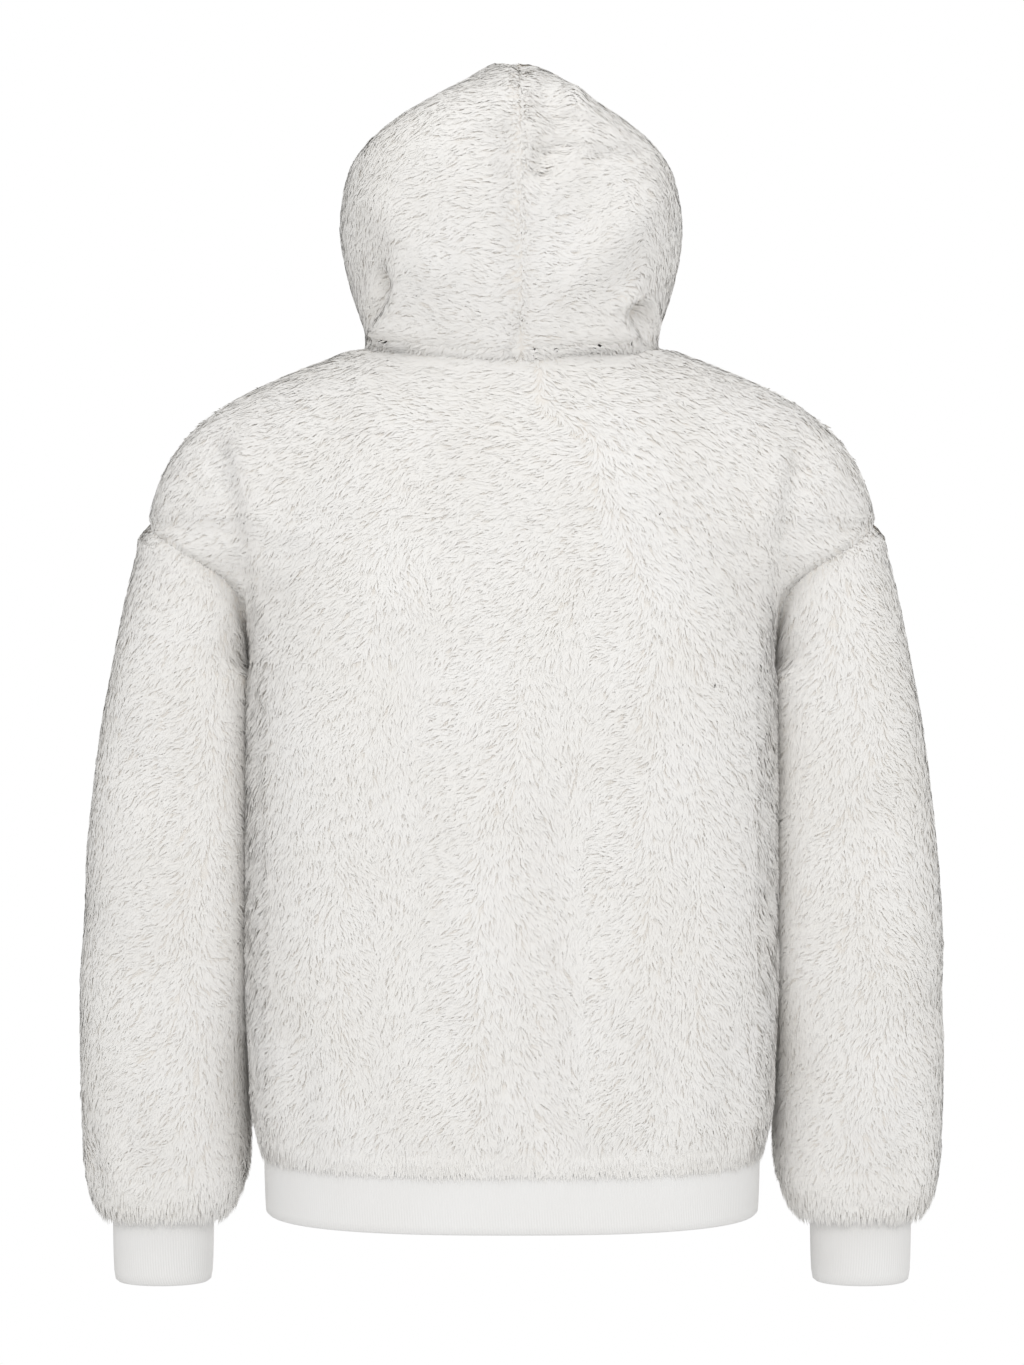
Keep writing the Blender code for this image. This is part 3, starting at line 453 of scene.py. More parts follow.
def half_section(z, end, back, torso_stop=0, fold=None, arm_start=0, rounding=0.004):
    """Left half of the body's level section: middle, round the torso and over the arm to its end point."""
    size = read(TORSO, z)
    turn = 1.0 if back else -1.0
    depth = size["back"] if back else size["front"]
    stop = max(math.radians(torso_stop), math.asin(min(max(end[1] * turn / depth, 0), 1)))
    corners = np.stack(superellipse(np.linspace(math.pi / 2, stop, DENSE), size["half_width"], depth,
                                    size["squareness"]), axis=1)
    if fold is not None:
        corners = np.vstack((corners, fold))
    if arm_start > 0:
        arm = read(ARM, z)
        middle_y = arm["middle_y"] * turn
        seam_angle = math.atan2((end[1] * turn - middle_y) / arm["half_depth"],
                                (end[0] - arm["middle_x"]) / arm["half_width"])
        over = np.linspace(math.radians(arm_start), seam_angle, DENSE)[:-1]
        arc_x = arm["middle_x"] + arm["half_width"] * np.cos(over)
        arc_y = middle_y + arm["half_depth"] * np.sin(over)
        corners = np.vstack((corners, np.column_stack((arc_x, arc_y))))
    corners = np.vstack((corners, (end[0], end[1] * turn)))
    points = resample(corners, np.linspace(0, 1, DENSE))
    step = np.linalg.norm(points[1] - points[0])
    for _ in range(round(2 * (rounding / step) ** 2)):
        points[1:-1] = (points[:-2] + 2 * points[1:-1] + points[2:]) / 4
    return np.stack((points[:, 0], points[:, 1] * turn, np.full(DENSE, z)), axis=1)


def side_point(z):
    """Where the left side seam stands below the armpit, from above."""
    return float(read(TORSO, z)["half_width"]), 0.0


def chest_half_rows(fractions, back):
    """Rows from the armpit to the shoulder tip; each ends on the armhole seam."""
    finish = 0 if back else 360
    dense_seam = armhole_points(np.linspace(180, finish, DENSE))
    sections = []
    for z, torso_stop, fold_x, fold_y, arm_start, rounding in zip(*CHEST_SECTIONS.values()):
        if z < ARMPIT_Z:
            end = side_point(z)
        else:
            end = [np.interp(z, dense_seam[:, 2], dense_seam[:, axis]) for axis in (0, 1)]
        fold = (fold_x, fold_y) if torso_stop else None
        section = half_section(z, end, back, torso_stop, fold, arm_start, rounding)
        sections.append(resample(section, fractions)[:, :2])
    sections = np.array(sections)
    rows = []
    for step, seam_point in enumerate(armhole_points(np.linspace(180, finish, ARMHOLE_STEPS + 1))):
        middle_z = ARMPIT_Z + (SHOULDER_TIP_Z - ARMPIT_Z) * step / ARMHOLE_STEPS
        row = np.empty((len(fractions), 3))
        row[:, 2] = middle_z + (seam_point[2] - middle_z) * fractions ** 4
        for column in range(len(fractions)):
            for axis in (0, 1):
                row[column, axis] = smooth(CHEST_SECTIONS["z"], sections[:, column, axis], row[column, 2])
        row += (seam_point - row[-1]) * fractions[:, None] ** 8
        rows.append(row)
    return rows


def body_half_rows(columns, back):
    """Left half of the back or front: rows up from the hem, points out from the middle."""
    fractions = np.linspace(0, 1, columns + 1)
    rows = []
    for z in np.linspace(HEM_SEAM_Z, ARMPIT_Z, BODY_ROWS + 1)[:-1]:
        rows.append(resample(half_section(z, side_point(z), back), fractions))
    rows += chest_half_rows(fractions, back)
    chest = rows[-1]
    neck = neck_points(fractions, back)
    share = fractions[:, None] ** YOKE_SPREAD
    middles = YOKE_BACK if back else YOKE_FRONT
    leave, arrive = (middle * (1 - share) + side * share for middle, side in zip(middles, YOKE_SIDE))
    for t in np.linspace(0, 1, YOKE_ROWS + 1)[1:]:
        ends = chest * (1 + 2 * t) * (1 - t) ** 2 + neck * t ** 2 * (3 - 2 * t)
        rows.append(ends + leave * t * (1 - t) ** 2 - arrive * t ** 2 * (1 - t))
    return np.array(rows)


def mirrored(points):
    """The same points on the other side of the garment."""
    return points * np.array((-1.0, 1.0, 1.0))


def both_sides(half):
    """A whole panel's rows, from the wearer's right edge to the left, from its left half."""
    return np.concatenate((mirrored(half[:, :0:-1]), half), axis=1)


def level(x, y, z):
    """Points of one level ring."""
    return np.column_stack((x, y, np.full(len(x), z)))


def sleeve_rows():
    """Left sleeve: rings from the armhole down to the cuff, round from the outer side over the back."""
    degrees = np.arange(2 * ARMHOLE_STEPS) * 180.0 / ARMHOLE_STEPS
    angle = np.radians(degrees)
    seam_line = armhole_points(degrees)
    shift = seam_line[:, :2] - np.stack(arm_plan(angle, seam_line[:, 2]), axis=1)
    rows = []
    for t in np.linspace(0, 1, 4 * FINE + 1):
        z = seam_line[:, 2] * (1 - t) + SLEEVE_LEVEL_Z * t
        plan = np.stack(arm_plan(angle, z), axis=1) + shift * (1 - t) ** 2
        rows.append(np.column_stack((plan, z)))
    for z in np.linspace(SLEEVE_LEVEL_Z, SLEEVE_TURN["z"][0], 34)[1:]:
        rows.append(level(*arm_plan(angle, z), z))
    full = rows[-1][:, :2]
    cuff = np.stack(cuff_plan(angle, 0.0), axis=1)
    turn = np.stack((SLEEVE_TURN["z"] * TURN_STRETCH, SLEEVE_TURN["fullness"]), axis=1)
    turn = resample(turn, np.linspace(0, 1, 14))
    for z, fullness in zip(turn[1:, 0] / TURN_STRETCH, turn[1:, 1]):
        rows.append(level(*(cuff + (full - cuff) * fullness).T, z))
    return np.array(rows)


def hood_half_rows():
    """Left half of the hood: rows up from the neck seam, points from the middle seam to the face edge."""
    back_part = neck_points(np.linspace(0, 1, BACK_HALF_COLUMNS + 1), True)
    front_part = neck_points(np.linspace(1, 0, FRONT_HALF_COLUMNS + 1), False)
    neck = np.concatenate((back_part, front_part[1:]))
    columns = len(neck)
    shoulder_share = BACK_HALF_COLUMNS / (columns - 1)
    spread = np.linspace(0, 1, columns)
    on_back = spread <= shoulder_share + 1e-9
    control = [neck]
    for row in zip(*HOOD.values()):
        back_y, back_z, half_width, wide_y, wide_z, edge_x, edge_y, edge_z = row
        quarter = np.linspace(math.pi / 2, 0, DENSE)
        x, y = superellipse(quarter, half_width, back_y - wide_y, HOOD_SQUARENESS)
        rise = np.sin(quarter) ** 2
        rear = np.column_stack((x, wide_y + y, wide_z + (back_z - wide_z) * rise))
        t = np.linspace(0, 1, DENSE)
        face = np.column_stack((
            half_width - (half_width - edge_x) * t ** 2.3,
            wide_y + (edge_y - wide_y) * t,
            wide_z + (edge_z - wide_z) * t ** 1.5,
        ))
        rear = resample(rear, spread[on_back] / shoulder_share)
        face = resample(face, (spread[~on_back] - shoulder_share) / (1 - shoulder_share))
        control.append(np.concatenate((rear, face)))
    control = np.array(control)
    keys = np.linspace(0, 1, len(control))
    wanted = np.linspace(0, 1, HOOD_ROWS + 1)
    rows = np.empty((HOOD_ROWS + 1, columns, 3))
    for column in range(columns):
        for axis in range(3):
            rows[:, column, axis] = smooth(keys, control[:, column, axis], wanted)
    return rows


def grid_normals(grid, ring, outward):
    """Unit normals of a grid of points, turned to the side of the outward hint."""
    along = np.gradient(grid, axis=0)
    if ring:
        across = (np.roll(grid, -1, axis=1) - np.roll(grid, 1, axis=1)) / 2
    else:
        across = np.gradient(grid, axis=1)
    normals = unit(np.cross(along, across))
    middle = normals[len(grid) // 2, grid.shape[1] // 4]
    return normals if np.dot(middle, outward) > 0 else -normals


def metres(values):
    """Millimetres as metres, in rows within rows."""
    return [metres(value) if isinstance(value, tuple) else value / 1000 for value in values]


def along_path(flat, start, end, path):
    """Distance of flat points from a path, and the value at the nearest place on it."""
    path = np.array(path)
    best = np.full(flat.shape[:-1], 1e9)
    amount = np.zeros(flat.shape[:-1])
    pieces = len(path) - 1
    for index in range(pieces):
        base = path[index]
        run = path[index + 1] - base
        t = np.clip(((flat - base) @ run) / (run @ run), 0, 1)
        away = np.linalg.norm(flat - base - t[..., None] * run, axis=-1)
        nearer = away < best
        best = np.where(nearer, away, best)
        amount = np.where(nearer, start + (end - start) * (index + t) / pieces, amount)
    return best, amount


def path_effect(flat, width, start, end, path):
    """Height of one soft trough or roll at flat points, easing out past both ends."""
    away, amount = along_path(flat, start, end, path)
    return amount * np.exp(-((away / width) ** 2))


def fold_lift(grid, face):
    """Sum of the body or hood folds at each point of a grid."""
    flat = grid[..., (0, 2)]
    return sum(path_effect(flat, *metres(fold)) for fold in FOLDS[face])


def sleeve_fold_lift(grid, side):
    """Sum of a sleeve's folds; angles become lengths round an arm of middling size."""
    rows, columns = grid.shape[:2]
    turn = np.arange(columns) * 2 * math.pi / columns
    flat = np.stack((np.broadcast_to(turn * ARM_RADIUS, (rows, columns)), grid[..., 2]), axis=-1)
    lift = np.zeros((rows, columns))
    for width, start, end, path in SLEEVE_FOLDS[side]:
        lift += path_effect(flat, width, start, end, [(math.radians(a) * ARM_RADIUS, z) for a, z in path])
    return lift


def from_edge(grid, axis, last):
    """Distance of each grid point from the first or last edge, along the grid's own lines."""
    steps = np.linalg.norm(np.diff(grid, axis=axis), axis=-1)
    start = np.zeros_like(np.take(steps, [0], axis=axis))
    along = np.concatenate((start, np.cumsum(steps, axis=axis)), axis=axis)
    if last:
        along = np.take(along, [-1], axis=axis) - along
    return along


def ripple(points, wavelength, seed):
    """Soft noise in space, about -1 to 1, from a few crossing waves, as a column."""
    rng = np.random.default_rng(seed)
    waves = unit(rng.normal(size=(9, 3))) * rng.uniform(0.7, 1.4, (9, 1)) * 2 * math.pi / wavelength
    phases = rng.uniform(0, 2 * math.pi, 9)
    return np.sin(points @ waves.T + phases).sum(axis=-1, keepdims=True) / 3.0


class Panel:
    """One cut piece of fleece: a grid of points at the pile's outer face, and the pile's sink at seams."""

    def __init__(self, name, grid, ring, outward):
        self.name = name
        self.ring = ring
        self.outward = outward
        self.grid = grid
        self.normals = grid_normals(grid, ring, outward)
        self.sink = np.zeros(grid.shape[:2])
        self.short = np.ones(grid.shape[:2])

    def lift(self, height):
        """Move the points along their normals, then find the normals again."""
        self.grid = self.grid + self.normals * height[..., None]
        self.normals = grid_normals(self.grid, self.ring, self.outward)

    def groove(self, distance, depth, width, short):
        """Sink and shorten the pile beside a seam, with a soft ridge next to the sink."""
        near = np.exp(-((distance / width) ** 2))
        ridge = np.exp(-(((distance - 2.2 * width) / width) ** 2))
        self.sink += depth * (near - 0.2 * ridge)
        self.short *= 1 - (1 - short) * np.exp(-((distance / (1.6 * width)) ** 2))


def touching(z):
    """Share of the arm's length, below the armpit, where body and sleeve press on each other."""
    return np.clip((ARMPIT_Z - z) / TOUCH_START, 0, 1) * np.clip((z - TOUCH_END_Z) / TOUCH_FADE, 0, 1)


def edge_fade(cells):
    """Share of the folds' height near an edge, none on it."""
    return np.clip(cells / (2.0 * FINE), 0, 1)


def body_panel(name, columns, back):
    """The back or the front."""
    grid = both_sides(body_half_rows(columns, back))
    panel = Panel(name, grid, False, (0, 1 if back else -1, 0))
    from_side = np.minimum(np.arange(2 * columns + 1), np.arange(2 * columns, -1, -1))
    from_top = np.arange(len(grid) - 1, -1, -1)
    fade = edge_fade(from_side)[None, :] * edge_fade(from_top)[:, None]
    fade = fade * np.clip(0.15 + (grid[..., 2] - HEM_SEAM_Z) / 0.035, 0, 1)
    panel.lift(fold_lift(grid, "back" if back else "front") * fade)
    x = panel.grid[..., 0]
    beside_arm = np.clip((np.abs(x) - 0.190) / 0.015, 0, 1)
    panel.grid[..., 0] = x + np.sign(x) * BODY_TOUCH * TOUCH * beside_arm * touching(panel.grid[..., 2])
    strength = np.interp(np.arange(len(grid)) - BODY_ROWS, *SEAM_DEPTH)
    for last in (False, True):
        panel.groove(from_edge(panel.grid, 1, last), strength[:, None], SEAM_WIDTH, 0.85)
    panel.groove(from_edge(panel.grid, 0, True), *NECK_GROOVE)
    return panel


def sleeve_panel(name, side):
    """A sleeve; side is 1 for the wearer's left and -1 for the right."""
    grid = sleeve_rows()
    lift = sleeve_fold_lift(grid, side)
    if side < 0:
        grid = mirrored(grid)
    panel = Panel(name, grid, True, (0, 1, 0))
    columns = grid.shape[1]
    against_body = np.clip(1.3 - np.abs(np.arange(columns) / columns - 0.5) * 5, 0, 1)
    from_top = edge_fade(np.arange(len(grid)))
    from_cuff = edge_fade(np.arange(len(grid) - 1, -1, -1))
    panel.lift(lift * (from_top * from_cuff)[:, None] * (1 - against_body)[None, :])
    turn = np.arange(columns) / columns
    inner = np.exp(-(((turn - 0.5) / 0.11) ** 2))
    corners = np.exp(-(((np.abs(turn - 0.5) - 0.12) / 0.07) ** 2))
    pressed = touching(panel.grid[..., 2])
    panel.lift(CORNER_LIFT * corners * pressed)
    panel.grid[..., 0] -= side * TOUCH * inner * pressed
    strength = np.interp(np.abs(np.arange(columns) - ARMHOLE_STEPS), *SEAM_DEPTH)
    panel.groove(from_edge(panel.grid, 0, False), strength[None, :], SEAM_WIDTH, 1.0)
    return panel


def hood_panels():
    """Both halves of the hood, cut from one grid at the middle seam."""
    half = hood_half_rows()
    whole = both_sides(half)
    normals = grid_normals(whole, False, (0, 1, 0))
    middle = half.shape[1] - 1
    towards_back = np.clip((whole[..., 1] - 0.02) / 0.03, 0, 1)
    fade = np.clip(np.arange(len(whole)) / 3.0, 0, 1)[:, None]
    whole = whole + normals * (fold_lift(whole, "hood") * towards_back * fade)[..., None]
    whole = whole + normals * HOOD_SPARE * fade[..., None]
    rise = np.clip(whole[..., 2] / 0.23, 0, 1)
    bow = read(SEAM_BOW, whole[..., 2])["shift"] * fade * towards_back
    whole[..., 0] += HOOD_TOP_LEAN * rise ** 2 + bow * np.exp(-((whole[..., 0] / SEAM_BOW_REACH) ** 2))
    normals = grid_normals(whole, False, (0, 1, 0))
    flat = np.zeros(whole.shape[1])
    over_face = unit(np.column_stack((whole[-1, :, 0] * 20, flat, flat + 1)))
    for back_rows in range(2 * FINE):
        share = back_rows / (2.0 * FINE)
        normals[-1 - back_rows] = unit(over_face * (1 - share) + normals[-1 - back_rows] * share)
    panels = []
    for name, chosen in (("hood_left", slice(middle, None)), ("hood_right", slice(None, middle + 1))):
        panel = Panel(name, whole[:, chosen], False, (0, 1, 0))
        panel.normals = normals[:, chosen].copy()
        panel.groove(from_edge(panel.grid, 1, name == "hood_right"), *HOOD_GROOVE)
        panel.groove(from_edge(panel.grid, 0, False), *NECK_GROOVE)
        panels.append(panel)
    return panels


def meet(first, first_cells, second, second_cells):
    """Give two panels the same normals along a seam, so that their backings close on each other."""
    shared = unit(first.normals[first_cells] + second.normals[second_cells])
    first.normals[first_cells] = shared
    second.normals[second_cells] = shared


def close_seams(back, front, sleeves, hoods):
    """Meet the seams of sides, armholes, shoulders and neck; the hood's halves share their own already."""
    tip = BODY_ROWS + ARMHOLE_STEPS
    top = tip + YOKE_ROWS
    steps = np.arange(ARMHOLE_STEPS + 1)
    for _ in range(2):
        for side, sleeve, hood in zip((1, -1), sleeves, hoods):
            back_edge = BACK_HALF_COLUMNS * (1 + side)
            front_edge = FRONT_HALF_COLUMNS * (1 + side)
            for rows in (np.arange(BODY_ROWS + 1), np.arange(tip, top + 1)):
                meet(back, (rows, back_edge), front, (rows, front_edge))
            for panel, edge, turn in ((back, back_edge, 1), (front, front_edge, -1)):
                meet(panel, (tip - steps, edge), sleeve, (0, (steps * turn) % (2 * ARMHOLE_STEPS)))
            out = np.arange(BACK_HALF_COLUMNS + 1)
            middle = 0 if side > 0 else hood.grid.shape[1] - 1
            meet(back, (top, BACK_HALF_COLUMNS + side * out), hood, (0, middle + side * out))
            inward = np.arange(FRONT_HALF_COLUMNS, -1, -1)
            place = middle + side * (BACK_HALF_COLUMNS + FRONT_HALF_COLUMNS - inward)
            meet(front, (top, FRONT_HALF_COLUMNS + side * inward), hood, (0, place))


def new_mesh(name, points, faces, materials, face_material=None, uv=None, normals=None):
    """A mesh object from arrays; faces is a list of index arrays with the same number of corners each."""
    data = bpy.data.meshes.new(name)
    data.vertices.add(len(points))
    data.vertices.foreach_set("co", np.asarray(points, dtype=np.float32).ravel())
    corners = np.concatenate([group.ravel() for group in faces]).astype(np.int32)
    sizes = np.concatenate([np.full(len(group), group.shape[1]) for group in faces])
    starts = np.concatenate(([0], np.cumsum(sizes)[:-1])).astype(np.int32)
    data.loops.add(len(corners))
    data.loops.foreach_set("vertex_index", corners)
    data.polygons.add(len(starts))
    data.polygons.foreach_set("loop_start", starts)
    for material in materials:
        data.materials.append(material)
    if face_material is not None:
        data.polygons.foreach_set("material_index", face_material.astype(np.int32))
    data.update(calc_edges=True)
    data.shade_smooth()
    if uv is not None:
        layer = data.uv_layers.new(name="UVMap")
        layer.uv.foreach_set("vector", np.asarray(uv, dtype=np.float32)[corners].ravel())
    if normals is not None:
        data.normals_split_custom_set_from_vertices(normals)
    thing = bpy.data.objects.new(name, data)
    bpy.context.scene.collection.objects.link(thing)
    return thing


def shell(name, outer, inner, ring, materials):
    """A closed sheet between two grids; material 0 is outside and on the edges, 1 is inside."""
    rows, columns = outer.shape[:2]
    count = rows * columns
    index = np.arange(count).reshape(rows, columns)
    after = np.roll(index, -1, axis=1) if ring else index[:, 1:]
    before = index if ring else index[:, :-1]
    front = np.stack((before[:-1], after[:-1], after[1:], before[1:]), axis=-1).reshape(-1, 4)
    edges = [np.stack((before[0], after[0]), axis=1), np.stack((after[-1], before[-1]), axis=1)]
    if not ring:
        edges.append(np.stack((index[1:, 0], index[:-1, 0]), axis=1))
        edges.append(np.stack((index[:-1, -1], index[1:, -1]), axis=1))
    edges = np.concatenate(edges)
    rim = np.stack((edges[:, 1], edges[:, 0], edges[:, 0] + count, edges[:, 1] + count), axis=1)
    a, b, c = (outer.reshape(-1, 3)[front[:, corner]] for corner in (0, 1, 3))
    direction = np.cross(b - a, c - a)
    outwards = np.sum(direction * (outer - inner).reshape(-1, 3)[front[:, 0]]) > 0
    faces = np.concatenate((front, front[:, ::-1] + count, rim))
    if not outwards:
        faces = faces[:, ::-1]
    kind = np.concatenate((np.zeros(len(front)), np.ones(len(front)), np.zeros(len(rim))))
    closed = np.concatenate((outer, outer[:, :1]), axis=1) if ring else outer
    around = from_edge(closed, 1, False)[:, :columns]
    along = from_edge(outer, 0, False)
    uv = np.stack((around, along), axis=-1).reshape(-1, 2)
    return new_mesh(name, np.concatenate((outer.reshape(-1, 3), inner.reshape(-1, 3))), [faces], materials,
                    kind, np.concatenate((uv, uv)))


class Surface:
    """Bilinear reading of a panel's grids at any place, carrying on straight past open edges."""

    def __init__(self, panel):
        self.ring = panel.ring
        parts = [panel.grid, panel.normals, panel.sink[..., None], panel.short[..., None]]
        whole = panel.grid - panel.normals * panel.sink[..., None]
        pile_normals = grid_normals(whole, panel.ring, panel.outward)
        pile_normals = pile_normals * np.where(dot(pile_normals, panel.normals) < 0, -1.0, 1.0)
        parts.append(unit(pile_normals + 0.35 * panel.normals))
        stack = np.concatenate(parts, axis=-1)
        if panel.ring:
            stack = np.concatenate((stack, stack[:, :1]), axis=1)
        self.stack = stack
        self.rows, self.columns = stack.shape[:2]

    def cell(self, place):
        """Row and column of the cell that holds each place, and how far down and over in it."""
        row = np.clip(np.floor(place[:, 0]), 0, self.rows - 2).astype(int)
        wrapped = place[:, 1] % (self.columns - 1) if self.ring else place[:, 1]
        column = np.clip(np.floor(wrapped), 0, self.columns - 2).astype(int)
        return row, column, (place[:, 0] - row)[:, None], (wrapped - column)[:, None]

    def at(self, place):
        """Points, normals, sink, shortening and pile normals."""
        row, column, down, over = self.cell(place)
        stack = self.stack
        first = stack[row, column] * (1 - over) + stack[row, column + 1] * over
        second = stack[row + 1, column] * (1 - over) + stack[row + 1, column + 1] * over
        value = first * (1 - down) + second * down
        return value[:, :3], unit(value[:, 3:6]), value[:, 6:7], value[:, 7:8], unit(value[:, 8:11])

    def advance(self, place, step):
        """The place reached by a small step in space along the surface."""
        row, column, down, over = self.cell(place)
        points = self.stack[..., :3]
        a = points[row, column]
        b = points[row, column + 1]
        c = points[row + 1, column]
        d = points[row + 1, column + 1]
        along = (c - a) * (1 - over) + (d - b) * over
        across = (b - a) * (1 - down) + (d - c) * down
        e = dot(along, along)
        f = dot(along, across)
        g = dot(across, across)
        spread = np.maximum(e * g - f * f, 1e-14)
        p = dot(step, along)
        q = dot(step, across)
        moved = place + np.concatenate(((g * p - f * q) / spread, (e * q - f * p) / spread), axis=1)
        moved[:, 0] = np.clip(moved[:, 0], -EDGE_SPARE, self.rows - 1 + EDGE_SPARE)
        if not self.ring:
            moved[:, 1] = np.clip(moved[:, 1], -EDGE_SPARE, self.columns - 1 + EDGE_SPARE)
        return moved


def scatter(surface, count, rng):
    """Places spread evenly by area over a panel."""
    points = surface.stack[..., :3]
    along = np.diff(points, axis=0)[:, :-1]
    across = np.diff(points, axis=1)[:-1]
    area = np.linalg.norm(np.cross(along, across), axis=-1).ravel()
    total = np.cumsum(area)
    wanted = (np.arange(count) + rng.uniform(0, 1, count)) / count * total[-1]
    cells = np.searchsorted(total, wanted)
    cells = np.clip(cells, 0, len(area) - 1)
    columns = surface.columns - 1
    inside = rng.uniform(0, 1, (count, 2))
    return np.stack((cells // columns + inside[:, 0], cells % columns + inside[:, 1]), axis=1)


def rotated(vectors, normals, angle):
    """Vectors turned about their normals."""
    return vectors * np.cos(angle) + np.cross(normals, vectors) * np.sin(angle)


def paired(lefts, rights):
    """Points of each lock by pairs up to its tip, which is the last of the lefts."""
    return np.stack([part for pair in zip(lefts, rights) for part in pair] + [lefts[-1]], axis=1)


def comb(surface, places, flow, length, width, rng, hang=0.0, stray=STRAY):
    """Locks of pile: points and normals of each, laid over the surface by the flow."""
    count = len(places)
    point, _, _, short, _ = surface.at(places)
    length = length * rng.uniform(*SIZE_SPREAD, (count, 1)) * short
    jitter = rng.normal(0, stray, (count, 1))
    phase = ripple(point, 0.024, 5) * 2.5 + rng.uniform(-0.7, 0.7, (count, 1))
    curl = CURL * (1 + 0.4 * rng.normal(size=(count, 1)))
    cover = COVER + 0.00025 * ripple(point, 0.011, 6) + rng.uniform(-0.0002, 0.0003, (count, 1))
    rise = rng.uniform(0.0, 1.0, (count, 1)) ** 3 * RISE
    roll = rng.normal(0, ROLL, (count, 1))
    half = width * rng.uniform(*SIZE_SPREAD, (count, 1)) / 2
    left, right, left_normal, right_normal = [], [], [], []
    here = places
    position = None
    for step in range(LOCK_STEPS + 1):
        t = step / LOCK_STEPS
        point, normal, sink, short, pile_normal = surface.at(here)
        heading = flow(point, normal)
        heading = unit(heading - normal * dot(heading, normal))
        heading = rotated(heading, normal, jitter + curl * np.sin(2 * math.pi * t * CURL_TURNS + phase))
        root = PILE + ROOT_SINK * sink
        depth = sink + cover
        depth = depth + (root - depth) * max(0.0, 1 - 2.0 * t) ** 1.5 - rise * t ** 2
        flank = (np.abs(normal[:, :1]) > 0.85) & (np.abs(point[:, :1]) < FLANK_X)
        flank &= point[:, 2:] < SHOULDER_TIP_Z
        ground = point - normal * (depth - FLANK_LIFT * t ** 2 * flank)
        onward = heading
        if hang:
            normal = unit(normal * LEVELLED)
            pile_normal = unit(pile_normal * LEVELLED)
        if hang and step:
            heading = unit(heading * (1 - hang) + DOWN * hang)
            ground = position + heading * length / LOCK_STEPS
        position = ground
        side = unit(np.cross(normal, heading))
        side = side * np.cos(roll) + normal * np.sin(roll)
        facing = unit(np.cross(heading, side))
        facing = facing * np.sign(dot(facing, normal))
        shade = unit((1 - FACING) * pile_normal + FACING * facing)
        if step < LOCK_STEPS:
            spread = half * WIDTH_ALONG[step]
            left.append(ground - side * spread)
            right.append(ground + side * spread)
            left_normal.append(unit(shade - side * ROUNDING))
            right_normal.append(unit(shade + side * ROUNDING))
            here = surface.advance(here, onward * length / LOCK_STEPS)
        else:
            left.append(ground)
            left_normal.append(shade)
    return paired(left, right), paired(left_normal, right_normal)


def wound(faces, points, normals):
    """Faces turned over where their winding disagrees with the normals."""
    corners = points[faces]
    direction = np.cross(corners[:, 1] - corners[:, 0], corners[:, -1] - corners[:, 0])
    wrong = np.sum(direction * normals[faces].sum(axis=1), axis=1) < 0
    faces[wrong] = faces[wrong][:, ::-1]
    return faces


def lock_mesh(name, points, normals, material, rng):
    """Locks as one mesh, each with its own place in the texture."""
    count, corners = points.shape[:2]
    base = (np.arange(count) * corners)[:, None]
    quads = [base + np.array((0, 2, 3, 1)) + 2 * part for part in range(LOCK_STEPS - 1)]
    tips = base + np.array((corners - 3, corners - 1, corners - 2))
    across = np.array([0.0, 1.0] * LOCK_STEPS + [0.5])
    along = np.array([k / LOCK_STEPS for k in range(LOCK_STEPS) for _ in (0, 1)] + [1.0])
    own = rng.integers(0, 900, (count, 1))
    uv = np.stack((own * 2.0 + across[None, :], np.broadcast_to(along, (count, corners))), axis=-1)
    points = points.reshape(-1, 3)
    normals = normals.reshape(-1, 3)
    faces = [wound(np.concatenate(quads), points, normals), wound(tips, points, normals)]
    return new_mesh(name, points, faces, [material], None, uv.reshape(-1, 2), normals)


def lock_meshes(name, batches, material, rng):
    """All the locks of a panel, in as few meshes as the limit on a piece allows."""
    points = np.concatenate([batch[0] for batch in batches])
    normals = np.concatenate([batch[1] for batch in batches])
    parts = np.array_split(np.arange(len(points)), math.ceil(len(points) / PIECE_LOCKS))
    return [lock_mesh(f"{name}_{index + 1}", points[part], normals[part], material, rng)
            for index, part in enumerate(parts)]


def steered(point, currents):
    """Headings blended from the currents, the nearest one most."""
    flat = point[:, (0, 2)]
    total = np.zeros((len(point), 2))
    for start, end, path in currents:
        away, degrees = along_path(flat, start, end, metres(path))
        lean = np.radians(degrees)
        weight = 1 / (away ** 2 + CURRENT_REACH ** 2) ** 2
        total += weight[:, None] * np.stack((np.sin(lean), -np.cos(lean)), axis=1)
    total = unit(total)
    return np.stack((total[:, 0], np.zeros(len(point)), total[:, 1]), axis=1)


def wandering(heading, point, normal):
    """Headings turned a little from place to place."""
    return rotated(heading, normal, WANDER * ripple(point, 0.045, 12))


def body_flow(point, normal):
    """Herringbone currents, the same from the front as from the back."""
    face = np.where(point[:, 1:2] > 0, 1.0, -1.0) * np.array((1.0, 0.0, 0.0)) + np.array((0.0, 1.0, 1.0))
    heading = steered(point * face, CURRENTS["body"]) * face
    near_hem = np.clip((point[:, 2:3] - HEM_SEAM_Z) / 0.03, 0, 1)
    return wandering(heading * near_hem + DOWN * (1 - near_hem), point, normal)


def sleeve_flow(point, normal):
    """Down the arm, leaning out and in by turns round it."""
    x, y, z = point.T
    arm = read(ARM, z)
    angle = np.degrees(np.abs(np.arctan2(y - arm["middle_y"], np.abs(x) - arm["middle_x"])))
    lean = read(SLEEVE_LEAN, angle)
    lean = np.radians(np.where(x > 0, lean["left"], lean["right"])) + 0.25 * ripple(point, 0.09, 21)[:, 0]
    lean = lean * np.clip((z + 0.690) / 0.05, 0, 1)
    heading = np.stack((np.sign(x) * np.sin(lean), np.zeros(len(x)), -np.cos(lean)), axis=1)
    return wandering(heading, point, normal)


def hood_flow(point, normal):
    """Away from the middle seam to the sides."""
    return wandering(steered(point, CURRENTS["hood"]), point, normal)


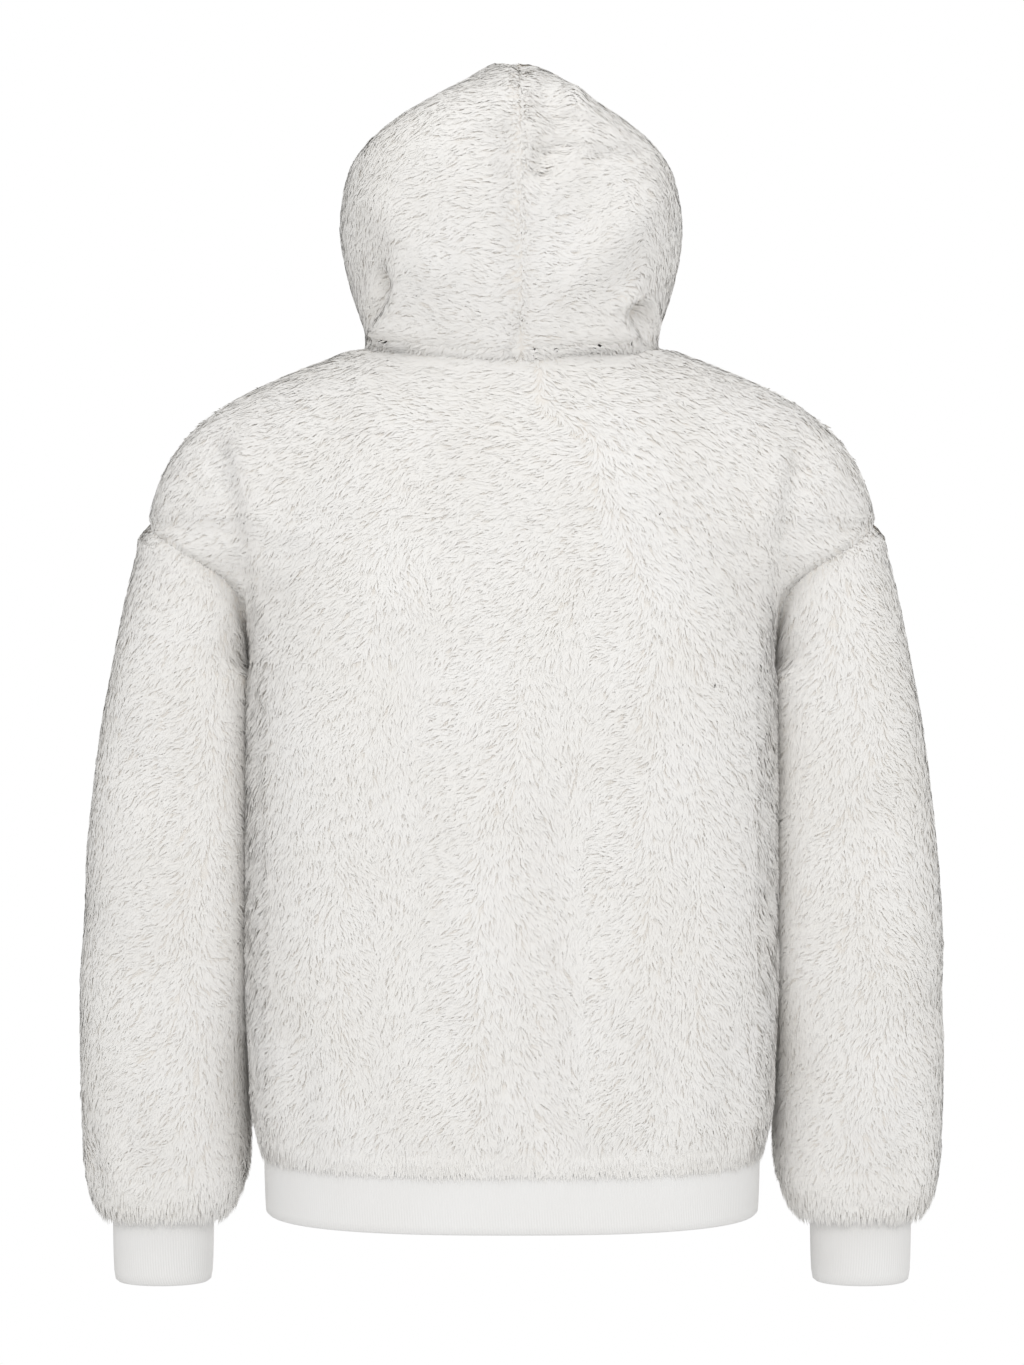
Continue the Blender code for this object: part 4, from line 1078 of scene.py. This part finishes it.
def shaded(name, roughness, specular):
    """A new material, its nodes, its shader, and its coordinates to choose from."""
    material = bpy.data.materials.new(name)
    material.use_nodes = True
    tree = material.node_tree
    shader = tree.nodes["Principled BSDF"]
    shader.inputs["Roughness"].default_value = roughness
    shader.inputs["Specular IOR Level"].default_value = specular
    return material, tree, shader, tree.nodes.new("ShaderNodeTexCoord").outputs


def fed(tree, kind, source, output, settings=None, **values):
    """A node fed by a vector, with some settings and input values: one of its outputs."""
    made = tree.nodes.new(kind)
    for name, value in (settings or {}).items():
        setattr(made, name, value)
    for name, value in values.items():
        made.inputs[name.title()].default_value = value
    tree.links.new(source, made.inputs["Vector"])
    return made.outputs[output]


def noise(tree, source, scale, detail=2.0):
    """Noise texture on the given coordinates."""
    return fed(tree, "ShaderNodeTexNoise", source, "Fac", scale=scale, detail=detail)


def stripes(tree, source, direction, **values):
    """Soft parallel bands across one direction of the given coordinates."""
    settings = {"wave_type": "BANDS", "bands_direction": direction}
    return fed(tree, "ShaderNodeTexWave", source, "Color", settings, **values)


def ramp(tree, source, stops):
    """A colour ramp fed by a value."""
    made = tree.nodes.new("ShaderNodeValToRGB")
    elements = made.color_ramp.elements
    while len(elements) < len(stops):
        elements.new(0.5)
    for element, (place, colour) in zip(elements, stops):
        element.position = place
        element.color = (*colour, 1.0)
    tree.links.new(source, made.inputs["Fac"])
    return made.outputs["Color"]


def product(tree, first, second):
    """Two colours multiplied."""
    made = tree.nodes.new("ShaderNodeMix")
    made.data_type = "RGBA"
    made.blend_type = "MULTIPLY"
    made.inputs[0].default_value = 1.0
    tree.links.new(first, made.inputs[6])
    tree.links.new(second, made.inputs[7])
    return made.outputs[2]


def patchy(tree, colour, value, low):
    """A colour varied by a value, toward the low tint where the value is low."""
    return product(tree, colour, ramp(tree, value, ((0.3, low), (0.7, WHITE))))


def covered(tree, shader, colour, height, strength, distance):
    """Colour and fine relief on a shader."""
    tree.links.new(colour, shader.inputs["Base Color"])
    made = tree.nodes.new("ShaderNodeBump")
    made.inputs["Strength"].default_value = strength
    made.inputs["Distance"].default_value = distance
    tree.links.new(height, made.inputs["Height"])
    tree.links.new(made.outputs["Normal"], shader.inputs["Normal"])


def pile_material():
    """Off-white pile: paler tips, roots darker and warmer as painted shade between the locks, fine strands
    along each lock.
    """
    material, tree, shader, place = shaded("pile", 0.9, 0.15)
    split = tree.nodes.new("ShaderNodeSeparateXYZ")
    tree.links.new(place["UV"], split.inputs["Vector"])
    # Darker and warmer toward each lock's root: painted shade between the locks.
    stops = ((0.0, (0.910, 0.870, 0.815)), (0.3, (0.93, 0.912, 0.882)), (0.7, (0.936, 0.923, 0.901)))
    along = ramp(tree, split.outputs["Y"], stops)
    stretched = fed(tree, "ShaderNodeMapping", place["UV"], "Vector", scale=(1.0, 0.28, 1.0))
    strands = noise(tree, stretched, 2.6, 3.0)
    colour = product(tree, along, ramp(tree, strands, ((0.3, (0.975, 0.970, 0.962)), (0.6, WHITE))))
    colour = patchy(tree, colour, noise(tree, place["Object"], 14.0), (0.97, 0.965, 0.955))
    covered(tree, shader, colour, strands, 0.1, 0.0003)
    return material


def root_painted_shade_material():
    """The pile's roots on the backing, seen only between locks, darker and warmer than the pile as painted
    shade.
    """
    material, tree, shader, place = shaded("pile_roots_painted_shade", 0.95, 0.1)
    grain = noise(tree, place["Object"], 420.0, 3.0)
    # Darker and warmer than the pile: painted shade in the gaps between locks; the grain adds random tone.
    colour = ramp(tree, grain, ((0.3, (0.87, 0.830, 0.775)), (0.7, (0.93, 0.905, 0.865))))
    covered(tree, shader, colour, grain, 0.5, 0.001)
    return material


def knit_material():
    """The smooth knitted back of the fleece, with fine wales."""
    material, tree, shader, place = shaded("knit_back", 0.9, 0.2)
    wales = stripes(tree, place["UV"], "X", scale=130.0, distortion=1.2, detail=1.0)
    courses = stripes(tree, place["UV"], "Y", scale=170.0, distortion=0.8)
    knit = product(tree, wales, courses)
    colour = ramp(tree, knit, ((0.0, (0.80, 0.78, 0.75)), (1.0, (0.90, 0.89, 0.86))))
    colour = patchy(tree, colour, noise(tree, place["Object"], 9.0), (0.96, 0.955, 0.95))
    covered(tree, shader, colour, knit, 0.5, 0.0006)
    return material


def rib_material():
    """Fine, nearly flat rib knit."""
    material, tree, shader, place = shaded("rib_knit", 0.82, 0.25)
    ribs = stripes(tree, place["UV"], "X", scale=150.0, distortion=0.4, detail=1.0)
    colour = ramp(tree, ribs, ((0.0, (0.892, 0.884, 0.869)), (1.0, (0.900, 0.892, 0.877))))
    colour = patchy(tree, colour, noise(tree, place["Object"], 16.0, 3.0), (0.975, 0.97, 0.965))
    covered(tree, shader, colour, ribs, 0.16, 0.0005)
    return material


def edge_places(surface, edge, reach, count, rng):
    """Places near one edge of a panel, even along it; the reach is in cells in from the edge."""
    inward = rng.uniform(*reach, count)
    even = (np.arange(count) + rng.uniform(0, 1, count)) / count
    if "row" in edge:
        row = inward if edge == "first row" else surface.rows - 1 - inward
        return np.stack((row, even * (surface.columns - 1)), axis=1)
    column = inward if edge == "first column" else surface.columns - 1 - inward
    return np.stack((even * (surface.rows - 1), column), axis=1)


def dress(panel, count, size, trims, flow, cut, materials, seed):
    """A panel's backing sheet and its pile; the cut, a width, a length and an area, is not used."""
    # The roots material is coloured darker and warmer than the pile, as painted shade between the locks.
    pile, roots, knit = materials
    share = 1.0
    depth = (PILE + ROOT_SINK * panel.sink)[..., None]
    outer = panel.grid - panel.normals * depth
    inner = panel.grid - panel.normals * (depth + BACKING)
    backing = shell(panel.name + "_backing", outer, inner, panel.ring, [roots, knit])
    rng = np.random.default_rng(seed)
    surface = Surface(panel)
    batches = [comb(surface, scatter(surface, int(count * share), rng), flow, *size, rng)]
    for edge, amount, reach, length, hang, stray in trims:
        places = edge_places(surface, edge, reach, int(amount * share), rng)
        batches.append(comb(surface, places, flow, length, TRIM_WIDTH, rng, hang, stray))
    fur = lock_meshes(panel.name + "_pile", batches, pile, rng)
    for piece in (backing, *fur):
        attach(piece, "root")
    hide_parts(panel.name)
    width, length, area = cut


def band(name, grid, material):
    """A rib tube from rings of points, turned in at its lower edge."""
    normals = grid_normals(grid, True, (0, 1, 0))
    normals[..., 2] = 0
    normals = unit(normals)
    piece = shell(name + "_rib", grid, grid - normals * RIB_WALL, True, [material, material])
    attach(piece, "root")
    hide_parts(name)


def band_rows(rings, plan):
    """Level rings of a band, each from its height and its spare, by a plan of x and y."""
    rows = []
    for z, spare in rings:
        x, y = plan(spare)
        rows.append(level(x, y, z))
    return np.array(rows)


def hem_plan(spare):
    """Plan of the hem band's outer face, grown by the spare."""
    angle = np.arange(240) * 2 * math.pi / 240
    half_width, back, front, squareness = (TORSO[name][0] for name in list(TORSO)[1:])
    sizes = [size - BAND_INSET + spare for size in (half_width, back, front)]
    x, y_back = superellipse(angle, sizes[0], sizes[1], squareness)
    _, y_front = superellipse(angle, sizes[0], sizes[2], squareness)
    return x, np.where(y_back > 0, y_back, y_front)


def placed(name, data, place, turn):
    """A lamp or camera put in the scene; the turn is in degrees."""
    thing = bpy.data.objects.new(name, data)
    thing.location = place
    thing.rotation_euler = [math.radians(angle) for angle in turn]
    bpy.context.scene.collection.objects.link(thing)
    return thing


def studio():
    """Pale floor far below, white surroundings and soft lights."""
    size = 3.0
    corners = np.array(((-size, -size), (size, -size), (size, size), (-size, size)))
    points = np.column_stack((corners, np.full(4, -1.6)))
    material, tree, shader, place = shaded("floor", 1.0, 0.0)
    stops = ((0.0, (0.78, 0.78, 0.78)), (1.0, (0.80, 0.80, 0.80)))
    tint = ramp(tree, noise(tree, place["Object"], 0.4), stops)
    tree.links.new(tint, shader.inputs["Base Color"])
    floor = new_mesh("floor", points, [np.array([[0, 1, 2, 3]])], [material])
    world = bpy.data.worlds.new("studio")
    world.use_nodes = True
    tree = world.node_tree
    surround = tree.nodes["Background"]
    surround.inputs["Color"].default_value = (0.99, 0.995, 1.0, 1.0)
    surround.inputs["Strength"].default_value = 0.535
    paper = tree.nodes.new("ShaderNodeBackground")
    paper.inputs["Color"].default_value = (*WHITE, 1.0)
    paper.inputs["Strength"].default_value = 1.0
    seen = tree.nodes.new("ShaderNodeLightPath")
    choice = tree.nodes.new("ShaderNodeMixShader")
    tree.links.new(seen.outputs["Is Camera Ray"], choice.inputs["Fac"])
    tree.links.new(surround.outputs["Background"], choice.inputs[1])
    tree.links.new(paper.outputs["Background"], choice.inputs[2])
    tree.links.new(choice.outputs["Shader"], tree.nodes["World Output"].inputs["Surface"])
    bpy.context.scene.world = world
    for name, spot, turn, power, width in LAMPS:
        lamp = bpy.data.lights.new(name, "AREA")
        lamp.energy = power
        lamp.size = width
        placed(name, lamp, spot, turn)


def camera():
    """The photograph's viewpoint: level, straight behind the garment."""
    data = bpy.data.cameras.new("camera")
    data.lens = 82.4
    data.sensor_width = 36.0
    bpy.context.scene.camera = placed("camera", data, (0.0, 2.5, -0.266), (90, 0, 180))


def main():
    """The whole sweatshirt, its studio and its camera."""
    materials = (pile_material(), root_painted_shade_material(), knit_material())
    rib = rib_material()
    back = body_panel("back", BACK_HALF_COLUMNS, True)
    front = body_panel("front", FRONT_HALF_COLUMNS, False)
    sleeves = [sleeve_panel("sleeve_left", 1), sleeve_panel("sleeve_right", -1)]
    hoods = hood_panels()
    close_seams(back, front, sleeves, hoods)
    trims = [HEM_TRIM, BODY_NECK_TRIM, *((edge, *SIDE_TRIM) for edge in ("first column", "last column"))]
    dress(back, 86000, LOCK_SIZE, trims, body_flow, (0.70, 0.66, 0.38), materials, 1)
    dress(front, 32000, FRONT_LOCK_SIZE, trims, body_flow, (0.68, 0.62, 0.357), materials, 2)
    trims = [WRIST_TRIM, ARMHOLE_TRIM]
    for seed, sleeve in zip((3, 4), sleeves):
        cut = (0.46, 0.50, 0.205)
        dress(sleeve, 41000, LOCK_SIZE, trims, sleeve_flow, cut, materials, seed)
    for seed, hood, middle in zip((5, 6), hoods, ("first column", "last column")):
        trims = [*HOOD_NECK_TRIMS, (middle, *HOOD_SEAM_TRIM)]
        dress(hood, 21000, LOCK_SIZE, trims, hood_flow, (0.39, 0.42, 0.089), materials, seed)
    band("hem_band", band_rows(HEM_RINGS, hem_plan), rib)
    cuff_angle = np.arange(120) * 2 * math.pi / 120
    cuff = band_rows(CUFF_RINGS, lambda spare: cuff_plan(cuff_angle, spare))
    band("cuff_left", cuff, rib)
    band("cuff_right", mirrored(cuff), rib)
    studio()
    camera()
    bpy.context.scene.view_settings.view_transform = "Standard"


main()
